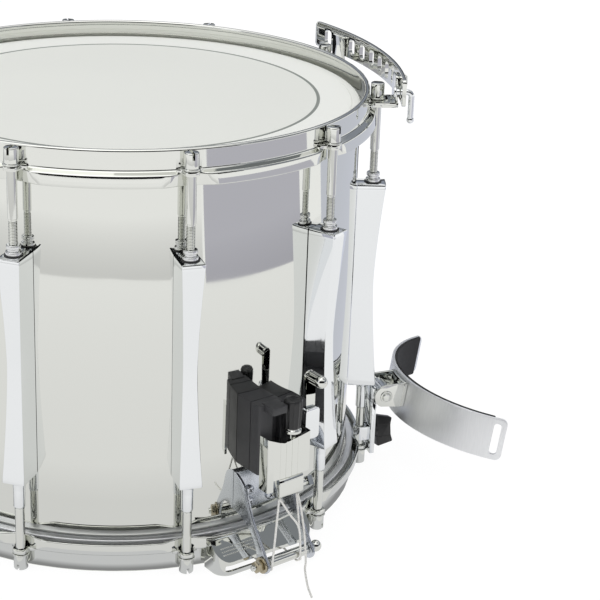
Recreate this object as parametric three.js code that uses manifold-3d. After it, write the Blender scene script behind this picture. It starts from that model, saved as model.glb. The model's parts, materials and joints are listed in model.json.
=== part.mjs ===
// A 14 inch marching snare drum with a carrying rail and a knee rest.
// Millimetres, +Z up. The drum stands on its bottom hoop at z = 0, and its axis is vertical.
//
// Most pieces are drawn in a frame of their own that is turned round the drum's axis:
// x runs along the shell, to the right for someone who faces the drum from outside,
// -y points away from the axis, and z is the height above the floor.
// Azimuth 0 is the side that faces -Y, and it grows towards +X.

import * as THREE from 'three';
import { mergeVertices } from 'three/addons/utils/BufferGeometryUtils.js';
import Module from 'manifold-3d';

const wasm = await Module();
wasm.setup();

// Driving dimensions of the drum.
const shellRadius = 177.8;
const hoopGap = 6.2;
const rodGap = 6;
const drumHeight = 313.8;
const lugCount = 10;
const firstLugAzimuth = THREE.MathUtils.degToRad(13.6);
const seat = 0.3;
const overrun = 4;

// Counts that set how fine the round shapes are.
const ringSteps = 40;
const rodSides = 6;
const smallSides = 12;
const curveSteps = 3;
const cornerSteps = 2;

const hoopRadius = shellRadius + hoopGap;
const rodCircle = hoopRadius + rodGap;
const lugPitch = 2 * Math.PI / lugCount;
const snareSkew = THREE.MathUtils.degToRad(1.5);
const gateAzimuth = firstLugAzimuth + lugPitch / 2;
const strainerAzimuth = gateAzimuth + snareSkew;
const buttAzimuth = strainerAzimuth + Math.PI;
const kneeLug = 2;
const carryAzimuth = firstLugAzimuth + lugPitch * (kneeLug + 0.5);

const finishes = {
  chrome: { color: 0xd8dadc, roughness: 0.08, metalness: 1 },
  brushedAluminium: { color: 0xb9bcc0, roughness: 0.35, metalness: 1 },
  zincSteel: { color: 0xaeb9c4, roughness: 0.3, metalness: 1 },
  blackPlastic: { color: 0x2d2d2e, roughness: 0.55, metalness: 0 },
  blackFoam: { color: 0x262627, roughness: 0.95, metalness: 0 },
  coatedFilm: { color: 0xeeeeea, roughness: 0.6, metalness: 0 },
  clearFilm: { color: 0xe4e6e4, roughness: 0.25, metalness: 0 },
  whiteCord: { color: 0xf2f2f0, roughness: 0.8, metalness: 0 },
  springSteel: { color: 0xa9adb2, roughness: 0.3, metalness: 1 },
};

const drum = new THREE.Group();

// Solids

function solidOf(geometry) {
  const bare = geometry.clone();
  bare.deleteAttribute('normal');
  bare.deleteAttribute('uv');
  const merged = mergeVertices(bare);
  const triangles = Uint32Array.from(merged.index.array);
  const points = Float32Array.from(merged.attributes.position.array);
  const make = (triVerts) => new wasm.Manifold(new wasm.Mesh({ numProp: 3, vertProperties: points, triVerts }));
  const solid = make(triangles);
  if (solid.volume() > 0) return solid;
  for (let i = 0; i < triangles.length; i += 3) {
    [triangles[i], triangles[i + 1]] = [triangles[i + 1], triangles[i]];
  }
  return make(triangles);
}

function geometryOf(solid) {
  const mesh = solid.getMesh();
  const geometry = new THREE.BufferGeometry();
  geometry.setAttribute('position', new THREE.BufferAttribute(Float32Array.from(mesh.vertProperties), 3));
  geometry.setIndex(new THREE.BufferAttribute(Uint32Array.from(mesh.triVerts), 1));
  geometry.computeVertexNormals();
  return geometry;
}

const join = (...solids) => solids.reduce((whole, next) => whole.add(next));
const cut = (solid, ...tools) => tools.reduce((rest, tool) => rest.subtract(tool), solid);

function shapeOf(points) {
  return new THREE.Shape(points.map(([x, y]) => new THREE.Vector2(x, y)));
}

// Outline in x and depth from the axis, pulled up from low to high.
function planSolid(shape, low, high) {
  const geometry = new THREE.ExtrudeGeometry(shape, { depth: high - low, bevelEnabled: false, curveSegments: cornerSteps });
  geometry.scale(1, -1, 1);
  return solidOf(geometry.translate(0, 0, low));
}

// Outline in x and z, pulled outwards from one distance from the axis to another.
function frontSolid(shape, near, far, steps = cornerSteps) {
  const geometry = new THREE.ExtrudeGeometry(shape, { depth: far - near, bevelEnabled: false, curveSegments: steps });
  return solidOf(geometry.rotateX(Math.PI / 2).translate(0, -near, 0));
}

// Outline in distance from the axis and z, pulled along x.
function sideSolid(shape, left, right, steps = curveSteps) {
  const geometry = new THREE.ExtrudeGeometry(shape, { depth: right - left, bevelEnabled: false, curveSegments: steps });
  geometry.rotateX(Math.PI / 2).rotateZ(-Math.PI / 2);
  return solidOf(geometry.translate(right, 0, 0));
}

// A profile of radius and height turned round the vertical axis.
function turned(points, steps, start = 0) {
  const profile = points.map(([radius, height]) => new THREE.Vector2(radius, height));
  return solidOf(new THREE.LatheGeometry(profile, steps, start).rotateX(Math.PI / 2));
}

const ring = (points) => turned([...points, points[0]], ringSteps, firstLugAzimuth);

function drill(radius, low, high, sides = rodSides) {
  return turned([[0, low], [radius, low], [radius, high], [0, high]], sides, Math.PI / sides);
}

// A faceted hole that clears everything inside the radius.
function bore(radius, low, high, sides = rodSides) {
  return drill(radius / Math.cos(Math.PI / sides), low, high, sides);
}

const drumCutter = (radius, low, high) => bore(radius, low, high, ringSteps);

// A round bar along x, centred on a point given by distance from the axis and height.
function barAlong(radius, left, right, depth, height, sides = smallSides, make = drill) {
  return make(radius, left, right, sides).rotate([0, 90, 0]).translate([0, -depth, height]);
}

// A round bar that points outwards.
function barOut(radius, near, far, x, height, sides = smallSides, make = drill) {
  return make(radius, near, far, sides).rotate([90, 0, 0]).translate([x, 0, height]);
}

const outwards = (solid, distance) => solid.translate([0, -distance, 0]);
const aroundAxis = (solid, azimuth) => solid.rotate([0, 0, THREE.MathUtils.radToDeg(azimuth)]);

function rectangle(left, right, low, high) {
  return shapeOf([[left, low], [right, low], [right, high], [left, high]]);
}

function roundedRectangle(left, right, low, high, corner) {
  const shape = new THREE.Shape();
  shape.moveTo(left + corner, low);
  shape.absarc(right - corner, low + corner, corner, -Math.PI / 2, 0);
  shape.absarc(right - corner, high - corner, corner, 0, Math.PI / 2);
  shape.absarc(left + corner, high - corner, corner, Math.PI / 2, Math.PI);
  shape.absarc(left + corner, low + corner, corner, Math.PI, 1.5 * Math.PI);
  shape.closePath();
  return shape;
}

// A band of a ring whose centre lies on the line x = 0, at a distance from the axis.
function arcSector(centre, inner, outer, from, to, steps) {
  const points = [];
  for (let i = 0; i <= steps; i += 1) {
    const angle = from + (to - from) * i / steps;
    points.push([outer * Math.sin(angle), centre + outer * Math.cos(angle)]);
  }
  for (let i = steps; i >= 0; i -= 1) {
    const angle = from + (to - from) * i / steps;
    points.push([inner * Math.sin(angle), centre + inner * Math.cos(angle)]);
  }
  return shapeOf(points);
}

function piece(name, solid, finish, parent) {
  const mesh = new THREE.Mesh(geometryOf(solid), new THREE.MeshStandardMaterial(finishes[finish]));
  mesh.name = name;
  parent.add(mesh);
  return mesh;
}

// A group turned round the drum's axis.
function turnedTo(azimuth, parent = drum) {
  const group = new THREE.Group();
  group.rotation.z = azimuth;
  parent.add(group);
  return group;
}

// Shell: chromed steel, rolled and welded.

const shell = { wall: 1.2, edgeDepth: 1.4 };
const rimStand = 11.5;
const film = 0.5;
const shellEnd = rimStand + film + seat;
const shellTop = drumHeight - shellEnd;

function shellSolid() {
  const inner = shellRadius - shell.wall;
  const edge = shellRadius - shell.edgeDepth - shell.wall;
  return ring([
    [shellRadius, shellEnd + shell.edgeDepth], [shellRadius, shellTop - shell.edgeDepth],
    [edge + shell.wall / 2, shellTop], [inner, shellTop - 2 * shell.edgeDepth],
    [inner, shellEnd + 2 * shell.edgeDepth], [edge + shell.wall / 2, shellEnd],
  ]);
}

piece('shell', shellSolid(), 'chrome', drum);

// Hoops: pressed steel with a rim, a shoulder and a skirt, and an ear for each rod.
// Their profile is given as the depth below the rim's edge.

const hoop = {
  wall: 2.3,
  rimRound: 0.6,
  shoulder: 14.8,
  shoulderDrop: 1.4,
  shoulderReach: 5.2,
  skirt: 24.8,
  skirtFlare: 1,
  sheet: 2.2,
};
const ear = { top: 13.1, thick: 3.4, round: 5.2, halfBase: 9, root: 1.5 };
const notch = { halfTop: 6.5, halfBottom: 12 };
const hoopInner = hoopRadius - hoop.wall;
const skirtTopRadius = hoopRadius + hoop.shoulderReach;
const skirtRadius = skirtTopRadius + hoop.skirtFlare;
const shoulderUnder = hoop.shoulder + hoop.shoulderDrop + hoop.sheet;
const rodShank = 3.5;
const rodThread = 3;
const rodHead = { radius: 5.1, length: 12.2, slot: 1.8, slotDepth: 3 };

// Turns a depth below the rim into a height, for the top hoop or the bottom one.
const heightAt = (depth, isTop) => (isTop ? drumHeight - depth : depth);

function hoopProfile(isTop) {
  const points = [
    [hoopInner, 0], [hoopRadius - hoop.rimRound, 0], [hoopRadius, hoop.rimRound], [hoopRadius, hoop.shoulder],
    [skirtTopRadius, hoop.shoulder + hoop.shoulderDrop], [skirtRadius, hoop.skirt],
    [skirtRadius - hoop.sheet, hoop.skirt], [skirtTopRadius - hoop.sheet, shoulderUnder],
    [hoopInner, shoulderUnder],
  ];
  return points.map(([radius, depth]) => [radius, heightAt(depth, isTop)]);
}

function slab(low, high) {
  return [Math.min(low, high), Math.max(low, high)];
}

function earSolid(isTop) {
  const tip = rodCircle + ear.round;
  const root = hoopRadius - hoop.wall / 2;
  const outline = new THREE.Shape();
  outline.moveTo(-ear.halfBase, root);
  outline.lineTo(-ear.halfBase, hoopRadius + ear.root);
  outline.quadraticCurveTo(-ear.round, hoopRadius + ear.root, -ear.round, rodCircle);
  outline.quadraticCurveTo(-ear.round, tip, 0, tip);
  outline.quadraticCurveTo(ear.round, tip, ear.round, rodCircle);
  outline.quadraticCurveTo(ear.round, hoopRadius + ear.root, ear.halfBase, hoopRadius + ear.root);
  outline.lineTo(ear.halfBase, root);
  const [low, high] = slab(heightAt(ear.top, isTop), heightAt(ear.top + ear.thick, isTop));
  return planSolid(outline, low, high);
}

function notchSolid(isTop) {
  const top = heightAt(hoop.shoulder + hoop.shoulderDrop, isTop);
  const bottom = heightAt(hoop.skirt + overrun, isTop);
  const flare = notch.halfBottom + (notch.halfBottom - notch.halfTop) * overrun / hoop.skirt;
  const outline = shapeOf([[-notch.halfTop, top], [notch.halfTop, top], [flare, bottom], [-flare, bottom]]);
  return frontSolid(outline, hoopRadius + seat, skirtRadius + overrun);
}

function earHole(isTop) {
  const [low, high] = slab(heightAt(0, isTop), heightAt(hoop.skirt, isTop));
  return outwards(bore(rodShank + seat, low, high), rodCircle);
}

function plainHoop(isTop) {
  let solid = ring(hoopProfile(isTop));
  for (let i = 0; i < lugCount; i += 1) {
    const azimuth = firstLugAzimuth + i * lugPitch;
    solid = cut(solid, aroundAxis(notchSolid(isTop), azimuth));
    solid = join(solid, aroundAxis(earSolid(isTop), azimuth));
    solid = cut(solid, aroundAxis(earHole(isTop), azimuth));
  }
  return solid;
}

piece('top_hoop', plainHoop(true), 'chrome', drum);

// Snare gates of the bottom hoop: a roofed bay with a flat front, through which the snares leave.

const gate = {
  halfWidth: 42,
  shift: -2,
  reach: 19,
  corner: 11,
  frontHeight: 10.5,
  roofHeight: 23.6,
  roofReach: 4.2,
  sheet: 2,
  slitLow: 3.2,
  slitHigh: 8,
  slitHalf: 37,
  windowHalf: 26,
  windowLow: 3,
  windowHigh: 13,
};
const gateFront = hoopRadius + gate.reach;
const gateRoofBack = hoopRadius + gate.roofReach;
const fleshHoop = { height: 6.8, grip: 5.2 };
const collarRadius = shellRadius + seat + film;
const fleshInner = collarRadius + seat;
const fleshOuter = fleshInner + fleshHoop.grip;

function gatePlan(inset) {
  const left = -gate.halfWidth + inset;
  const right = gate.halfWidth - inset;
  const corner = gate.corner - inset;
  const back = hoopRadius - hoop.wall;
  const front = gateFront - inset;
  const shape = new THREE.Shape();
  shape.moveTo(left, back);
  shape.lineTo(right, back);
  shape.lineTo(right, front - corner);
  shape.absarc(right - corner, front - corner, corner, 0, Math.PI / 2);
  shape.absarc(left + corner, front - corner, corner, Math.PI / 2, Math.PI);
  shape.closePath();
  return shape;
}

function gateSection(inset, floor) {
  const back = hoopRadius - hoop.wall;
  return shapeOf([
    [back, floor], [gateFront - inset, floor], [gateFront - inset, gate.frontHeight - inset],
    [gateRoofBack, gate.roofHeight - inset], [back, gate.roofHeight - inset],
  ]);
}

function gateSolid(inset, floor) {
  const high = gate.roofHeight + overrun;
  const plan = planSolid(gatePlan(inset), floor, high);
  return plan.intersect(sideSolid(gateSection(inset, floor), -gate.halfWidth, gate.halfWidth));
}

function withGate(hoopSolid, azimuth, shift) {
  const place = (solid) => aroundAxis(solid.translate([shift, 0, 0]), azimuth);
  const inside = drumCutter(fleshOuter + seat, -overrun, drumHeight / 2);
  const slit = frontSolid(
    rectangle(-gate.slitHalf, gate.slitHalf, gate.slitLow, gate.slitHigh),
    gateFront - gate.corner,
    gateFront + overrun,
  );
  const window = frontSolid(
    rectangle(-gate.windowHalf, gate.windowHalf, gate.windowLow, gate.windowHigh),
    hoopInner - overrun,
    gateFront - gate.sheet - seat,
  );
  const bay = place(cut(gateSolid(0, 0), gateSolid(gate.sheet, -overrun), slit));
  return join(cut(hoopSolid, place(window)), cut(bay, inside));
}

function bottomHoop() {
  const shift = gate.shift;
  const withFront = withGate(plainHoop(false), gateAzimuth, shift);
  return withGate(withFront, gateAzimuth + Math.PI, -shift);
}

piece('bottom_hoop', bottomHoop(), 'chrome', drum);

// Heads: a film that folds over the shell's edge, held by a ring under each hoop's shoulder.

const fleshTop = shoulderUnder + seat;

function headSolid(isTop) {
  const at = (depth) => heightAt(depth, isTop);
  const bend = shellRadius - shell.edgeDepth;
  const end = fleshTop + fleshHoop.height - film;
  const inner = collarRadius - film;
  return turned([
    [0, at(rimStand)], [bend, at(rimStand)], [collarRadius, at(rimStand + film + shell.edgeDepth)],
    [collarRadius, at(end)], [inner, at(end)], [inner, at(rimStand + film + shell.edgeDepth)],
    [bend, at(rimStand + film)], [0, at(rimStand + film)],
  ], ringSteps, firstLugAzimuth);
}

function fleshSolid(isTop) {
  const low = heightAt(fleshTop, isTop);
  const high = heightAt(fleshTop + fleshHoop.height, isTop);
  return ring([[fleshInner, low], [fleshOuter, low], [fleshOuter, high], [fleshInner, high]]);
}

piece('batter_head', headSolid(true), 'coatedFilm', drum);
piece('batter_flesh_hoop', fleshSolid(true), 'brushedAluminium', drum);
piece('snare_side_head', headSolid(false), 'clearFilm', drum);
piece('snare_side_flesh_hoop', fleshSolid(false), 'brushedAluminium', drum);

// Lugs: full-height castings with a drawn-in waist, and a threaded insert at each end.

const lug = {
  bottom: 71,
  topMargin: 75.8,
  waistShare: 0.521,
  endHalf: 8.4,
  waistHalf: 5.1,
  endReach: 22.2,
  waistReach: 16.4,
  bevel: 2.4,
  foot: 3,
  bore: 20,
  steps: 3,
};
const lugTop = drumHeight - lug.topMargin;
const lugWaist = lug.bottom + (lugTop - lug.bottom) * lug.waistShare;
const insert = { wide: 6, narrow: 5, wideHeight: 4.6, height: 8.4, sides: 8 };
const sleeve = { flare: 6.3, radius: 4.3, neck: 4.6, flareHeight: 3, bottom: 50 };

// The waist's curve: 0 at the waist, 1 at the ends.
function waistShare(share) {
  return Math.pow(Math.abs(share), 1.5);
}

function waistCurve(waistSize, endSize) {
  const points = [];
  for (let i = -lug.steps; i <= lug.steps; i += 1) {
    const share = i / lug.steps;
    const span = share < 0 ? lugWaist - lug.bottom : lugTop - lugWaist;
    points.push([waistSize + (endSize - waistSize) * waistShare(share), lugWaist + span * share]);
  }
  return points;
}

function lugSolid() {
  const back = shellRadius + seat;
  const sides = waistCurve(lug.waistHalf, lug.endHalf);
  const front = shapeOf([...sides, ...sides.map(([x, z]) => [-x, z]).reverse()]);
  const faces = waistCurve(shellRadius + lug.waistReach, shellRadius + lug.endReach);
  const outer = faces[faces.length - 1][0];
  const section = [
    [back, lug.bottom], [faces[0][0] - lug.foot, lug.bottom], [faces[0][0], lug.bottom + lug.foot],
    ...faces.slice(1, -1),
    [outer, lugTop - lug.bevel], [outer - lug.bevel, lugTop], [back, lugTop],
  ];
  const body = frontSolid(front, back, outer + overrun).intersect(
    sideSolid(shapeOf(section), -lug.endHalf - overrun, lug.endHalf + overrun),
  );
  const topInsert = turned([
    [0, lugTop - insert.height], [insert.wide, lugTop - insert.height], [insert.wide, lugTop + insert.wideHeight],
    [insert.narrow, lugTop + insert.wideHeight], [insert.narrow, lugTop + insert.height], [0, lugTop + insert.height],
  ], insert.sides);
  const bottomSleeve = turned([
    [0, sleeve.bottom], [sleeve.radius, sleeve.bottom], [sleeve.radius, lug.bottom - sleeve.flareHeight - sleeve.neck],
    [sleeve.neck, lug.bottom - sleeve.flareHeight], [sleeve.flare, lug.bottom], [sleeve.flare, lug.bottom + insert.height],
    [0, lug.bottom + insert.height],
  ], insert.sides);
  const threaded = rodThread + seat;
  return cut(
    join(body, outwards(topInsert, rodCircle), outwards(bottomSleeve, rodCircle)),
    outwards(bore(threaded, lugTop - lug.bore, lugTop + lug.bore), rodCircle),
    outwards(bore(threaded, sleeve.bottom - overrun, lug.bottom + lug.bore), rodCircle),
  );
}

// Tension rods: a slotted head on the hoop's ear, a smooth shank and a threaded end in the lug.

const railPlate = 2;
const threadLength = 34;

function rodSolid(isTop, lift) {
  const rodSeat = ear.top - seat - lift;
  const headEnd = rodSeat - rodHead.length;
  const shankEnd = isTop ? drumHeight - lugTop - insert.height - seat : sleeve.bottom - seat;
  const shankStart = isTop ? shankEnd - threadLength / 2 : shankEnd - seat;
  const end = isTop ? drumHeight - lugTop + lug.bore - seat - film : lug.bottom + lug.bore - seat - film;
  const at = (depth) => heightAt(depth, isTop);
  const rod = turned([
    [0, at(headEnd)], [rodHead.radius, at(headEnd)], [rodHead.radius, at(rodSeat)], [rodShank, at(rodSeat)],
    [rodShank, at(shankStart)], [rodThread, at(shankStart)], [rodThread, at(end)], [0, at(end)],
  ], rodSides, Math.PI / rodSides);
  const [low, high] = slab(at(headEnd - overrun), at(headEnd + rodHead.slotDepth));
  const slot = planSolid(
    rectangle(-rodHead.slot / 2, rodHead.slot / 2, -rodHead.radius - overrun, rodHead.radius + overrun),
    low,
    high,
  );
  return outwards(cut(rod, slot), rodCircle);
}

for (let i = 0; i < lugCount; i += 1) {
  const place = turnedTo(firstLugAzimuth + i * lugPitch);
  const label = String(i + 1).padStart(2, '0');
  const lift = i === kneeLug || i === kneeLug + 1 ? railPlate + seat : 0;
  piece(`lug_${label}`, lugSolid(), 'chrome', place);
  piece(`top_rod_${label}`, rodSolid(true, lift), 'chrome', place);
  piece(`bottom_rod_${label}`, rodSolid(false, 0), 'chrome', place);
}

// Brackets on the shell: a back plate and two sickle arms that carry a roller in front of the gate.
// The arms' outlines are shares of the roller's reach from the shell and of their height above it.

const bracket = { halfSpan: 19, sheet: 2.3, low: 36, high: 67, lugHole: 2.4, holeHigh: 52 };
const roller = { reach: 36, height: 8, eye: 7, radius: 4, pin: 2.2, nut: 4.4, nutLength: 5.5, washer: 6.2, ball: 4.4 };
const rollerDepth = shellRadius + roller.reach;
const armOuterShares = [[-0.15, 1], [0.34, 0.86], [0.59, 0.53], [0.99, 0.18]];
const armInnerShares = [[0.72, 0.2], [0.45, 0.39], [-0.15, 0.56]];

function armPoint([reachShare, heightShare]) {
  const rise = bracket.high - roller.height;
  return new THREE.Vector2(shellRadius + roller.reach * reachShare, roller.height + rise * heightShare);
}

function armShape() {
  const outer = armOuterShares.map(armPoint);
  const inner = armInnerShares.map(armPoint);
  const eyeTop = new THREE.Vector2(rollerDepth + roller.eye, roller.height);
  const shape = new THREE.Shape();
  shape.moveTo(outer[0].x, outer[0].y);
  shape.splineThru([...outer.slice(1), eyeTop]);
  shape.absarc(rollerDepth, roller.height, roller.eye, 0, -Math.PI, true);
  shape.splineThru(inner);
  shape.closePath();
  return shape;
}

function bracketSolid() {
  const reach = bracket.halfSpan + bracket.sheet;
  const outer = shellRadius + seat + bracket.sheet;
  const behind = drumCutter(shellRadius + seat, bracket.low - overrun, bracket.high + overrun);
  const wrap = planSolid(
    arcSector(0, shellRadius - overrun, outer, -Math.asin(reach / outer), Math.asin(reach / outer), smallSides),
    bracket.low,
    bracket.high,
  );
  const trim = planSolid(rectangle(-reach, reach, 0, outer), bracket.low - overrun, bracket.high + overrun);
  const leftArm = sideSolid(armShape(), -reach, -bracket.halfSpan);
  const rightArm = sideSolid(armShape(), bracket.halfSpan, reach);
  const eyes = barAlong(roller.pin + seat, -reach - overrun, reach + overrun, rollerDepth, roller.height, rodSides, bore);
  return cut(join(wrap.intersect(trim), leftArm, rightArm), eyes, behind);
}

// A roller between the arms, on a pin with a washer and a nut on the left and a ball head on the right.
function rollerSolid() {
  const inner = bracket.halfSpan - seat;
  const outer = bracket.halfSpan + bracket.sheet + seat;
  const along = (radius, from, to, sides) => barAlong(radius, from, to, rollerDepth, roller.height, sides);
  const washerEnd = -outer - roller.nutLength / 4;
  const nutEnd = washerEnd - roller.nutLength;
  const ball = solidOf(new THREE.SphereGeometry(roller.ball, insert.sides, insert.sides / 2));
  return join(
    along(roller.radius, -inner, inner, smallSides),
    along(roller.pin, nutEnd - roller.pin, outer + roller.nutLength, rodSides),
    along(roller.washer, washerEnd, -outer, smallSides),
    along(roller.nut, nutEnd, washerEnd, rodSides),
    ball.translate([outer + roller.nutLength, -rollerDepth, roller.height]),
  );
}

// Strainer: a black housing on the shell, a front block that slides on it, a tension knob and a lever.

const housing = {
  left: -19.4,
  right: 1.5,
  reach: 25.2,
  low: 73.5,
  high: 127.5,
  corner: 3,
  seamDepth: 10.5,
  seam: 0.8,
  grooveLeft: -8,
  grooveRight: -1,
  grooveDepth: 5,
  capLeft: -15,
  capRight: -2,
  capReach: 35,
  capHeight: 5,
};
const hub = { right: 32, below: 11.5, above: 12.5, back: 6, reach: 22.4, coverBack: 26.1, cover: 2.6, wall: 1.7, left: 19.4 };
const lever = {
  x: 25.2,
  height: 103.5,
  gripRise: 36,
  halfWidth: 3.9,
  eye: 5.5,
  sheet: 2.6,
  grip: 4.3,
  gripRib: 0.35,
  gripRibs: 10,
  gripLength: 11.5,
  ball: 4.6,
  pin: 2.4,
};
const hubLow = lever.height - hub.below;
const hubHigh = lever.height + hub.above;
const gripHeight = lever.height + lever.gripRise;
const block = {
  half: 18.8,
  back: 25.5,
  front: 36.2,
  bulge: 0.8,
  low: 63.5,
  notchHigh: 72.5,
  legWidth: 5,
  high: 105.5,
  slope: 2.2,
  dip: 5.5,
  dipShift: -5,
  shelf: 99,
  sheet: 2.3,
  travel: 6,
};
const knob = {
  x: 5.6,
  reach: 30.8,
  radius: 6.8,
  waist: 5.8,
  ribDepth: 0.45,
  ribs: 12,
  low: 107.6,
  high: 130,
  rim: 0.8,
  collar: 6.2,
  collarNeck: 4.8,
  spindle: 2.4,
};

function housingSolid() {
  const back = shellRadius + seat;
  const front = shellRadius + housing.reach;
  const slotNear = shellRadius + hub.reach;
  const coverNear = shellRadius + hub.coverBack;
  const coverFar = coverNear + hub.cover;
  const behind = drumCutter(back, housing.low - overrun, housing.high + overrun);
  const body = planSolid(
    roundedRectangle(housing.left, housing.right, back - overrun, front, housing.corner),
    housing.low,
    housing.high,
  );
  const seamLine = planSolid(
    rectangle(
      housing.left - overrun,
      housing.left + housing.seam,
      front - housing.seamDepth,
      front - housing.seamDepth + housing.seam,
    ),
    housing.low - overrun,
    housing.high + overrun,
  );
  const cap = planSolid(
    roundedRectangle(housing.capLeft, housing.capRight, front - housing.corner, shellRadius + housing.capReach, housing.seam),
    housing.high - housing.capHeight,
    housing.high + housing.seam,
  );
  const plinth = planSolid(
    rectangle(housing.grooveRight + seat, hub.right, shellRadius - overrun, slotNear),
    hubLow,
    hubHigh,
  );
  const bridge = planSolid(rectangle(hub.left, hub.left + hub.wall, slotNear - overrun, coverFar), hubLow, hubHigh);
  const cover = frontSolid(
    roundedRectangle(hub.left, hub.right, hubLow, hubHigh, housing.corner),
    coverNear,
    coverFar,
  );
  const groove = planSolid(
    rectangle(housing.grooveLeft, housing.grooveRight, front - housing.grooveDepth, front + overrun),
    housing.low - overrun,
    housing.high - housing.capHeight,
  );
  const pivot = barOut(lever.pin, slotNear - overrun, coverNear + overrun / 2, lever.x, lever.height, rodSides);
  return cut(join(cut(body, groove, seamLine), cap, plinth, bridge, cover, pivot), behind);
}

function blockPlan(inset, back) {
  const half = block.half - inset;
  const side = shellRadius + block.front - block.bulge - inset;
  const shape = new THREE.Shape();
  shape.moveTo(-half, back);
  shape.lineTo(half, back);
  shape.lineTo(half, side);
  shape.quadraticCurveTo(0, side + 2 * block.bulge, -half, side);
  shape.closePath();
  return shape;
}

function blockSolid() {
  const back = shellRadius + block.back;
  const front = shellRadius + block.front;
  const outer = planSolid(blockPlan(0, back), block.low, block.high);
  const hollow = planSolid(blockPlan(block.sheet, back - overrun), block.low - overrun, block.shelf - block.sheet);
  const pan = planSolid(blockPlan(block.sheet, back - overrun), block.shelf, block.high + overrun);
  const dip = frontSolid(
    shapeOf([
      [-block.half - overrun, block.high + overrun], [-block.half, block.high],
      [block.dipShift, block.high - block.dip], [block.half, block.high - block.slope],
      [block.half + overrun, block.high + overrun],
    ]),
    back - overrun,
    front + overrun,
  );
  const notchCut = frontSolid(
    rectangle(block.legWidth - block.half, block.half + overrun, block.low - overrun, block.notchHigh),
    back - overrun,
    front + overrun,
  );
  const tongue = planSolid(
    rectangle(
      housing.grooveLeft + seat,
      housing.grooveRight - seat,
      shellRadius + housing.reach - housing.grooveDepth + seat,
      back + block.sheet,
    ),
    block.notchHigh + block.sheet,
    block.shelf,
  );
  const lowPlate = planSolid(blockPlan(block.sheet / 2, back), block.notchHigh, block.notchHigh + block.sheet);
  const spindleBore = outwards(bore(knob.spindle + seat, block.low, block.high), shellRadius + knob.reach)
    .translate([knob.x, 0, 0]);
  return cut(join(cut(outer, hollow, pan, dip, notchCut), tongue, lowPlate), spindleBore);
}

// A round outline with square ribs.
function ribbedShape(radius, depth, ribs) {
  const points = [];
  const steps = 4 * ribs;
  for (let i = 0; i < steps; i += 1) {
    const angle = 2 * Math.PI * i / steps;
    const reach = i % 4 < 2 ? radius : radius - depth;
    points.push([reach * Math.cos(angle), reach * Math.sin(angle)]);
  }
  return shapeOf(points);
}

function knobSolid() {
  const height = knob.high - knob.low;
  const ribbed = solidOf(new THREE.ExtrudeGeometry(
    ribbedShape(knob.radius, knob.ribDepth, knob.ribs),
    { depth: height, bevelEnabled: false },
  )).translate([0, 0, knob.low]);
  const taper = turned([
    [0, knob.low], [knob.waist, knob.low], [knob.radius, knob.high - height / 4],
    [knob.radius, knob.high - knob.rim], [knob.radius - knob.rim, knob.high], [0, knob.high],
  ], 2 * smallSides);
  const collarLow = block.high - block.slope + seat;
  const collar = turned([
    [0, collarLow], [knob.collarNeck, collarLow], [knob.collar, collarLow + knob.rim],
    [knob.collar, knob.low - knob.rim], [knob.waist - knob.rim, knob.low + knob.rim], [0, knob.low + knob.rim],
  ], smallSides);
  const spindle = drill(knob.spindle, block.notchHigh + seat, knob.low);
  return outwards(join(ribbed.intersect(taper), collar, spindle), shellRadius + knob.reach).translate([knob.x, 0, 0]);
}

// Throw-off lever: a flat arm between the hub's cheeks, with a ribbed grip that points outwards.
function leverSolid() {
  const near = shellRadius + hub.reach + (hub.coverBack - hub.reach - lever.sheet) / 2;
  const far = near + lever.sheet;
  const arm = new THREE.Shape();
  const neck = lever.height + lever.eye / 2;
  arm.moveTo(lever.x + lever.halfWidth, neck);
  arm.lineTo(lever.x + lever.halfWidth, gripHeight);
  arm.absarc(lever.x, gripHeight, lever.halfWidth, 0, Math.PI);
  arm.lineTo(lever.x - lever.halfWidth, neck);
  arm.absarc(lever.x, lever.height, lever.halfWidth, Math.PI, 2 * Math.PI);
  arm.closePath();
  const plate = frontSolid(arm, near, far);
  const gripGeometry = new THREE.ExtrudeGeometry(
    ribbedShape(lever.grip, lever.gripRib, lever.gripRibs),
    { depth: lever.gripLength, bevelEnabled: false },
  );
  const grip = solidOf(gripGeometry.rotateX(Math.PI / 2)).translate([lever.x, seat - far, gripHeight]);
  const ball = solidOf(new THREE.SphereGeometry(lever.ball, insert.sides, insert.sides / 2))
    .translate([lever.x, -far - lever.gripLength, gripHeight]);
  const eye = barOut(lever.pin + seat, near - overrun, far + overrun, lever.x, lever.height, smallSides, bore);
  return cut(join(plate, grip, ball), eye);
}

// Cord clamp: a bar with a round back under the block's notch, held by a cross bolt.

const clamp = {
  left: -8,
  right: 13.5,
  back: 27,
  low: 56,
  arch: 6.6,
  nose: 3,
  boltHeight: 61,
  boltReach: 31,
  bolt: 2.6,
  boltLength: 5.5,
  head: 5,
  headLength: 5,
};
const clampFront = shellRadius + block.front;

function clampSolid() {
  const back = shellRadius + clamp.back;
  const high = block.notchHigh - seat;
  const outline = new THREE.Shape();
  outline.moveTo(back, clamp.low);
  outline.lineTo(clampFront - clamp.nose, clamp.low);
  outline.absarc(clampFront - clamp.nose, clamp.low + clamp.nose, clamp.nose, -Math.PI / 2, 0);
  outline.absarc(clampFront - clamp.arch, high - clamp.arch, clamp.arch, 0, Math.PI / 2);
  outline.lineTo(back, high);
  outline.closePath();
  const bar = sideSolid(outline, clamp.left, clamp.right);
  const boltDepth = shellRadius + clamp.boltReach;
  const boltEnd = clamp.right + clamp.boltLength;
  const bolt = barAlong(clamp.bolt, clamp.right - seat, boltEnd + seat, boltDepth, clamp.boltHeight, rodSides);
  const head = barAlong(clamp.head, boltEnd, boltEnd + clamp.headLength, boltDepth, clamp.boltHeight, 4);
  return join(bar, bolt, head);
}

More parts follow.
